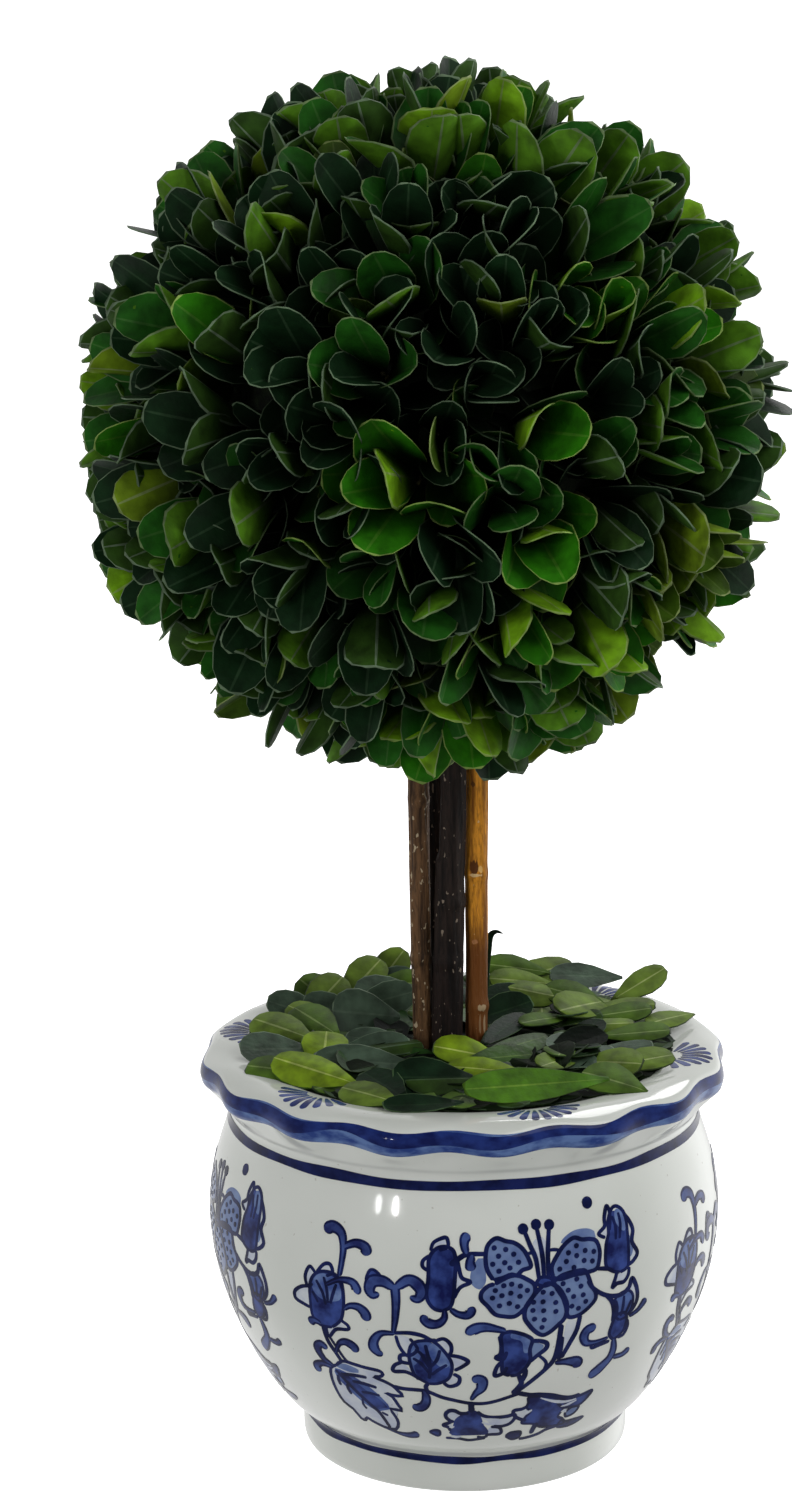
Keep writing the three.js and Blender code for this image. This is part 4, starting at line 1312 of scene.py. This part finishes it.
# The fern, moss and lime edges are darker than their blades: painted shadow where each leaf lies on the
# ones below.
COLLAR_TONES = {
    "slate": ((72, 90, 74), (74, 96, 46), (112, 130, 108), None, 0.14),
    "pine": ((20, 40, 24), (44, 66, 24), (66, 88, 58), None, 0.1),
    "fern": ((34, 64, 24), (76, 104, 34), (34, 52, 20), (122, 144, 80), 0.18),
    "moss": ((52, 82, 26), (100, 124, 44), (46, 64, 22), (148, 164, 98), 0.22),
    "lime": ((70, 113, 18), (122, 150, 26), (62, 92, 16), (176, 194, 96), 0.22),
    # Near black leaves: painted shade for those lying under the others.
    "shade": ((8, 16, 9), (16, 28, 11), (28, 40, 22), None, 0.04),
}
for name, colours in COLLAR_TONES.items():
    tones[name] = leaf_tone(name, *colours, painted_depth_shade=False)

UNDER_LEAVES = 64
RIM_LEAVES = 72
STRAY_LEAVES = 20
BACK_FROM = 12
SHORTEST_LEAF = 14.5
LOOSE_WIDTH = (0.46, 0.6)
LOOSE_CUP = (-0.12, 0.2)
LOOSE_BEND = (-0.08, 0.06)
LOOSE_SUNK = 0.7
LOOSE_CLEAR = 0.4
RIM_LOLL = 0.25
UPTURNED = 0.4

# Each row is a leaf's stalk and tip, its width, how far its face leans to the front in degrees,
# its tone, and 1 where its upper side shows or -1 where its underside does.
DRESSING = (
    ((-17, 37, 85), (-11.5, 40.5, 91.5), 8.0, 62, "moss", -1),
    ((-25, 26, 84), (-16.5, 36, 90.5), 8.5, 55, "moss", -1),
    ((-20, 31, 84.5), (-9, 33, 88), 8.0, 50, "slate", 1),
    ((-28, 26, 84.5), (-34, 30, 88.5), 9.5, 52, "fern", -1),
    ((-30, 23, 84.5), (-24.5, 30, 88.5), 9.0, 52, "moss", -1),
    ((-34, 20, 84.5), (-40.5, 20, 86.5), 8.5, 40, "slate", 1),
    ((-27, 19, 85), (-33, 19, 87), 7.0, 40, "slate", 1),
    ((-25, 0, 85), (-34.5, 12.5, 87), 9.0, 30, "fern", -1),
    ((-28, 8, 85), (-36, 15, 87.3), 7.0, 35, "moss", -1),
    ((-30, -1, 84.5), (-43, 8, 86.5), 9.5, 32, "moss", -1),
    ((-32, -5.5, 84.5), (-45, -9, 85.6), 10.0, 28, "slate", 1),
    ((-34, -20, 84), (-43.5, -17, 84.8), 9.0, 22, "fern", -1),
    ((-21, -29.5, 84.5), (-38, -17.5, 86), 9.5, 30, "lime", -1),
    ((-14, -39, 84), (-24.5, -31.5, 84.8), 8.0, 24, "moss", -1),
    ((-28, -12, 84.5), (-27.5, -3.5, 87), 10.0, 26, "lime", -1),
    ((-15, 11, 86), (-26.5, 8, 88.3), 11.5, 52, "slate", 1),
    ((-10.5, 26, 87), (-22, 21, 87.8), 9.0, 45, "slate", 1),
    ((-17, 18, 87), (-9.5, 18.5, 89), 8.0, 55, "slate", 1),
    ((-15, 29, 86.5), (-6, 28.5, 88.5), 7.5, 50, "fern", -1),
    ((-10.5, -6.5, 85), (-24, -2, 86.3), 7.0, 30, "slate", 1),
    ((-19, -7.5, 85.6), (-10.5, -6.5, 86.3), 6.0, 34, "slate", 1),
    ((-9.5, -18, 84.6), (-30.5, -14, 85.8), 9.0, 26, "slate", 1),
    ((-13, -34, 84.2), (-20, -24, 85.2), 8.5, 26, "pine", 1),
    ((1.5, -26, 84.8), (-14.5, -28, 85.8), 11.0, 30, "pine", 1),
    ((-0.5, -38.5, 83.9), (-16.5, -41.5, 84.1), 6.0, 20, "pine", 1),
    ((28, -29, 85.2), (-1, -36.8, 86), 9.0, 32, "lime", 1),
    ((12.5, -26, 85), (-4, -21.5, 85.8), 6.5, 24, "lime", -1),
    ((3, -13.5, 85), (-6.5, -12.5, 86.4), 8.5, 28, "lime", -1),
    ((3, -15, 85.6), (17, -5.5, 86.8), 7.0, 16, "moss", 1),
    ((0, -17, 85.2), (14, -13.5, 86), 7.5, 26, "moss", 1),
    ((3, -8, 85), (13, 7, 88.2), 6.0, 20, "pine", 1),
    ((5, 7, 87), (14.5, 10.5, 88.8), 8.0, 33, "pine", 1),
    ((16, 28, 90), (4.5, 29, 91.4), 6.5, 36, "fern", -1),
    ((16, 24, 88.6), (5.5, 22.5, 90), 6.5, 36, "moss", -1),
    ((14, 19, 88), (5, 16, 89.2), 6.5, 34, "pine", 1),
    ((31, 18, 86.5), (19.5, 6, 88), 10.5, 26, "moss", -1),
    ((22, 17.5, 87), (9, 20, 88.8), 7.5, 28, "moss", -1),
    ((27, 16, 87), (17, 21, 88.8), 7.5, 28, "fern", -1),
    ((6, 25, 87.5), (24, 32, 90.6), 8.5, 30, "moss", -1),
    ((34, 29, 88.2), (18.5, 28, 89.8), 8.0, 26, "slate", 1),
    ((32.5, 22, 86), (43, 28, 90.2), 6.5, 44, "moss", -1),
    ((26, 8, 86), (39, 8, 87.4), 7.0, 20, "fern", -1),
    ((29, 14, 86), (40, 13, 87.6), 7.0, 20, "moss", -1),
    ((47.5, 12.5, 85.2), (37.5, 3, 86.4), 6.0, 22, "moss", -1),
    ((27, -3.5, 85.6), (42, -4, 86.4), 7.0, 18, "fern", -1),
    ((24, 2, 86), (35, 1, 87), 6.5, 16, "moss", -1),
    ((26, -5, 85.8), (17, -12.5, 87), 7.5, 22, "slate", 1),
    ((17.5, 6, 86.4), (11.5, 0.5, 87.6), 5.5, 18, "fern", -1),
    ((28, -18, 84.8), (35, -21.5, 86), 9.5, 30, "moss", -1),
    ((34, -18, 84.8), (41.8, -16, 85.8), 8.0, 18, "moss", -1),
    ((32, -31, 84.1), (22.5, -26, 85.6), 9.5, 26, "fern", -1),
    ((20.5, -16, 85), (14.5, -25, 86), 7.0, 26, "moss", -1),
    ((30, -10, 85), (38, -9, 86.2), 6.0, 14, "slate", 1),
    ((20, -20, 85), (30, -12, 86.2), 6.0, 20, "slate", 1),
)
draw = np.random.default_rng(4127)


def dress(rows):
    """Leaves laid one by one, each from its stalk to its tip. A short way between them is a leaf
    partly hidden, so its stalk is pushed back under its neighbours. The face leans from straight
    up toward the front by an angle."""
    stalk, tip, width, lean, _, side = map(np.array, zip(*rows))
    lean, count = np.radians(lean), len(rows)
    length = np.maximum(np.linalg.norm(tip - stalk, axis=1), SHORTEST_LEAF)
    along = unit(tip - stalk)
    up = np.stack([draw.uniform(-0.12, 0.12, count), -np.sin(lean), np.cos(lean)], -1)
    cup = 0.1 * side * draw.uniform(-1, 1, count)
    bend = 0.04 * side * draw.uniform(-1.5, 1, count)
    shape = leaf_shape(length, width, cup, bend)
    return set_leaves(shape, tip - along * length[:, None], along, up * side[:, None])


def lay_leaves(angle, radius, heading, pitch, layer, sizes, slide, loll=1.0):
    """Leaves laid on the bed round a radius from the axis. Each point is raised by the bed's
    height under it and the leaf's layer, and a leaf that would sink in is raised until it lies
    on the bed. Where `slide` is set, a leaf is moved along its radius until it ends at the rim.
    `loll` scales how far it cups and rolls."""
    count = len(angle)
    length = draw.uniform(*sizes, count)
    shape = leaf_shape(
        length,
        length * draw.uniform(*LOOSE_WIDTH, count),
        loll * draw.uniform(*LOOSE_CUP, count),
        loll * draw.uniform(*LOOSE_BEND, count),
    )
    shape[..., 1] -= 0.5 * length[:, None]
    turn = angle + draw.choice((-1, 1), count) * np.radians(draw.uniform(*heading, count))
    back = 0.5 - 0.5 * np.cos(angle)
    rise = np.tan(np.radians(draw.uniform(*pitch, count) * (0.4 + back)))
    flat = np.stack([np.sin(turn), -np.cos(turn), rise], -1)
    roll = loll * np.stack([draw.uniform(-0.3, 0.3, count), draw.uniform(-0.45, 0.15, count)])
    up = np.stack([roll[0], roll[1], np.ones(count)], -1)
    up[draw.uniform(size=count) < UPTURNED] *= -1
    place = radius * draw.uniform(0.92, 1.08, count)
    out = np.stack([np.sin(angle), -np.cos(angle), 0 * angle], -1)
    leaves = set_leaves(shape, out * place[:, None], unit(flat), up)
    reach = (COLLAR_REACH - COLLAR_BACK * np.cos(angle)) * draw.uniform(0.955, 1, count)
    far = np.hypot(leaves[..., 0], leaves[..., 1]).max(axis=1)
    leaves += (out * (reach - far)[:, None])[:, None] * slide
    under = bed_height(np.hypot(leaves[..., 0], leaves[..., 1]))
    leaves[..., 2] += under.mean(axis=1)[:, None] + draw.uniform(*layer, count)[:, None]
    low = (leaves[..., 2] - under).min(axis=1)
    leaves[..., 2] += np.maximum(-LOOSE_SUNK - low, 0)[:, None]
    far = np.hypot(leaves[..., 0], leaves[..., 1]).max(axis=1)
    return leaves[(far < reach + 0.1) & ~near_stick(leaves, LOOSE_CLEAR).any(axis=1)]


def scattered(count):
    """Angles anywhere round the pot."""
    return draw.uniform(0, 2 * math.pi, count)


def evenly(count):
    """Angles at even steps round the pot, each off by less than half a step."""
    return (np.arange(count) + draw.uniform(-0.4, 0.4, count)) * 2 * math.pi / count


# Two rings of leaves near the bed, two that end at the rim, and a few strays at the right.
loose = np.concatenate(
    [
        lay_leaves(scattered(UNDER_LEAVES), 17, (0, 180), (-3, 6), (-0.6, 0), (13, 17), 0),
        lay_leaves(scattered(UNDER_LEAVES), 27, (0, 180), (-3, 6), (-0.6, 0), (13, 17), 0),
        lay_leaves(evenly(RIM_LEAVES), 35, (0, 60), (0, 3), (-0.6, -0.1), (12, 16), 1, RIM_LOLL),
        lay_leaves(evenly(RIM_LEAVES), 34, (30, 100), (0, 3), (-0.6, -0.1), (12, 16), 1, RIM_LOLL),
        lay_leaves(
            draw.uniform(0.7, 2.1, STRAY_LEAVES), 25, (0, 180), (4, 22), (1.2, 2.8), (12, 14.5), 0
        ),
    ]
)
laid = dress(DRESSING)
# Painted shade: loose leaves at the front and sides, which lie under and between the laid ones, are mostly
# of the near black shade tone, so the gaps between the laid leaves read dark; those at the back take
# lighter tones.
under_tone = draw.choice(("shade", "pine", "fern"), len(loose), p=(0.6, 0.28, 0.12))
back_tone = draw.choice(("moss", "fern", "slate", "pine"), len(loose), p=(0.3, 0.35, 0.15, 0.2))
under_tone = np.where(loose[..., 1].mean(axis=1) > BACK_FROM, back_tone, under_tone)
laid_tone = np.array([row[4] for row in DRESSING])
for tone in COLLAR_TONES:
    both = np.concatenate([loose[under_tone == tone], laid[laid_tone == tone]])
    make_leaves("loose_leaves_" + tone, both, tone, "leaf_collar")


# A dry stalk stands among the leaves, right of the sticks, bent over at its top.
STALK = (
    (4.7, 18, 85),
    (4.9, 18, 92),
    (5.5, 17.8, 98),
    (6.0, 17.6, 100.8),
    (7.2, 17.4, 101.8),
    (8.7, 17.2, 101.4),
)
STALK_THICK = 0.9


def stalk_shape(points, thick, sides=8):
    """A bent rod, half as thick one way as the other: a ring of points round each place along the
    curve, which thins by the cube of the way along. Both ends close nearly to a point."""
    line = curve_through(points, 6)
    share = np.linspace(0, 1, len(line))
    along = unit(np.gradient(line, axis=0))
    side = unit(np.cross(along, np.array([0.1, 1, 0])))
    over = np.cross(along, side)
    turn = (np.arange(sides) * 2 * math.pi / sides)[None, :, None]
    round_ = np.cos(turn) * side[:, None] + np.sin(turn) * over[:, None] * 0.5
    width = thick * (1 - share**3)
    width[[0, -1]] = 0.02
    ring = line[:, None] + round_ * width[:, None, None]
    faces = grid_faces(len(line), sides, around=True).tolist()
    faces += [tuple(range(sides))[::-1], tuple(range((len(line) - 1) * sides, len(line) * sides))]
    return ring.reshape(-1, 3), faces


stalk = piece("collar_stalk", *stalk_shape(STALK, STALK_THICK), [tones["pine"][0]])
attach(stalk, "root")
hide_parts("leaf_collar")


# The setting
# A plain pale floor and soft grey walls, a large window of light at the right, a low fill and
# two small lamps at the left, weak light from behind, and a camera at the photograph's place.

FLOOR = 12.0
floor_mesh = bpy.data.meshes.new("floor")
corners = [(-FLOOR, -FLOOR, 0), (FLOOR, -FLOOR, 0), (FLOOR, FLOOR, 0), (-FLOOR, FLOOR, 0)]
floor_mesh.from_pydata(corners, [], [(0, 1, 2, 3)])
floor = bpy.data.objects.new("floor", floor_mesh)
bpy.context.scene.collection.objects.link(floor)
floor_white = material(
    "floor_white",
    lambda place: {},
    Base_Color=(0.85, 0.85, 0.85, 1),
    Roughness=0.8,
    Emission_Color=(1, 1, 1, 1),
    Emission_Strength=1.0,
)
floor_mesh.materials.append(floor_white)
floor.visible_diffuse = False
floor.visible_glossy = False

TABLE_GLOW = 0.9
BRIGHT_SIDE = (0.85, 0.52, -0.08)
world = bpy.data.worlds.new("studio")
bpy.context.scene.world = world
world.use_nodes = True
sky = Part(world.node_tree, world.node_tree.nodes.new("ShaderNodeTexCoord").outputs["Generated"])
upward = sky.node("SeparateXYZ", None, {0: sky}, output=2) * 0.5 + 0.5
backward = sky.node("SeparateXYZ", None, {0: sky}, output=1) * 0.5 + 0.5
rise = upward.tint((0.48, (0.9,) * 3), (0.62, (0.8,) * 3), (0.85, (0.35,) * 3))
walls = upward.tint((0.4, (1, 1, 1)), (0.52, (0, 0, 0))).over(rise, (TABLE_GLOW,) * 3)
backdrop = backward.tint((0.1, (0.3,) * 3), (0.45, (0.5,) * 3), (0.7, (1.0,) * 3))
sideways = sky.node("VectorMath", {"operation": "DOT_PRODUCT"}, {0: sky, 1: BRIGHT_SIDE}, output=1)
glare = sideways.tint((0.74, (0, 0, 0)), (0.97, (0.95, 0.95, 0.95)))
walls = walls.blended("MULTIPLY", backdrop).blended("ADD", glare)
world.node_tree.links.new(walls.socket, world.node_tree.nodes["Background"].inputs["Color"])


LIGHT_AWAY = 1.2


def soft_light(name, aim, toward, width, watts, mirrored=True):
    """A round area light in a direction from the aim, and turned to face it. One that isn't
    mirrored lights the glaze without a highlight."""
    lamp = bpy.data.lights.new(name, "AREA")
    lamp.shape = "DISK"
    lamp.size = width
    lamp.energy = watts
    made = bpy.data.objects.new(name, lamp)
    made.location = Vector(aim) + Vector(toward).normalized() * LIGHT_AWAY
    made.rotation_euler = (-Vector(toward)).to_track_quat("-Z", "Y").to_euler()
    made.visible_glossy = mirrored
    bpy.context.scene.collection.objects.link(made)


MIDDLE = (0, 0, 0.14)
soft_light("right_window", MIDDLE, (0.58, -0.47, 0.66), 1.0, 5.5)
soft_light("left_fill", MIDDLE, (-0.6, -0.8, -0.08), 0.5, 3.2, mirrored=False)
soft_light("back_rim", MIDDLE, (0.3, 0.9, 0.8), 0.5, 3)
soft_light("left_lamp", (-0.0139, -0.047, 0.0655), (-0.52, -0.814, 0.259), 0.06, 0.9)
soft_light("left_tube", (-0.0172, -0.0459, 0.0655), (-0.631, -0.735, 0.246), 0.06, 0.35)

CAMERA_PLACE = Vector((-13.05, -747.9, 323.0)) * MM
CAMERA_PITCH = math.radians(13.42)
CAMERA_ROLL = math.radians(0.5)
FOCAL_PIXELS = 3868.0
PHOTO_HEIGHT = 1500.0

forward = Vector((0, math.cos(CAMERA_PITCH), -math.sin(CAMERA_PITCH)))
level = Vector((1, 0, 0))
above = level.cross(forward)
right = math.cos(CAMERA_ROLL) * level - math.sin(CAMERA_ROLL) * above
above = math.cos(CAMERA_ROLL) * above + math.sin(CAMERA_ROLL) * level
lens = bpy.data.cameras.new("camera")
lens.sensor_width = 36.0
lens.lens = lens.sensor_width * FOCAL_PIXELS / PHOTO_HEIGHT
lens.clip_start, lens.clip_end = 0.01, 20
camera = bpy.data.objects.new("camera", lens)
turn = Matrix((right, above, -forward)).transposed().to_4x4()
camera.matrix_world = Matrix.Translation(CAMERA_PLACE) @ turn
bpy.context.scene.collection.objects.link(camera)
bpy.context.scene.camera = camera
bpy.context.scene.view_settings.view_transform = "Standard"
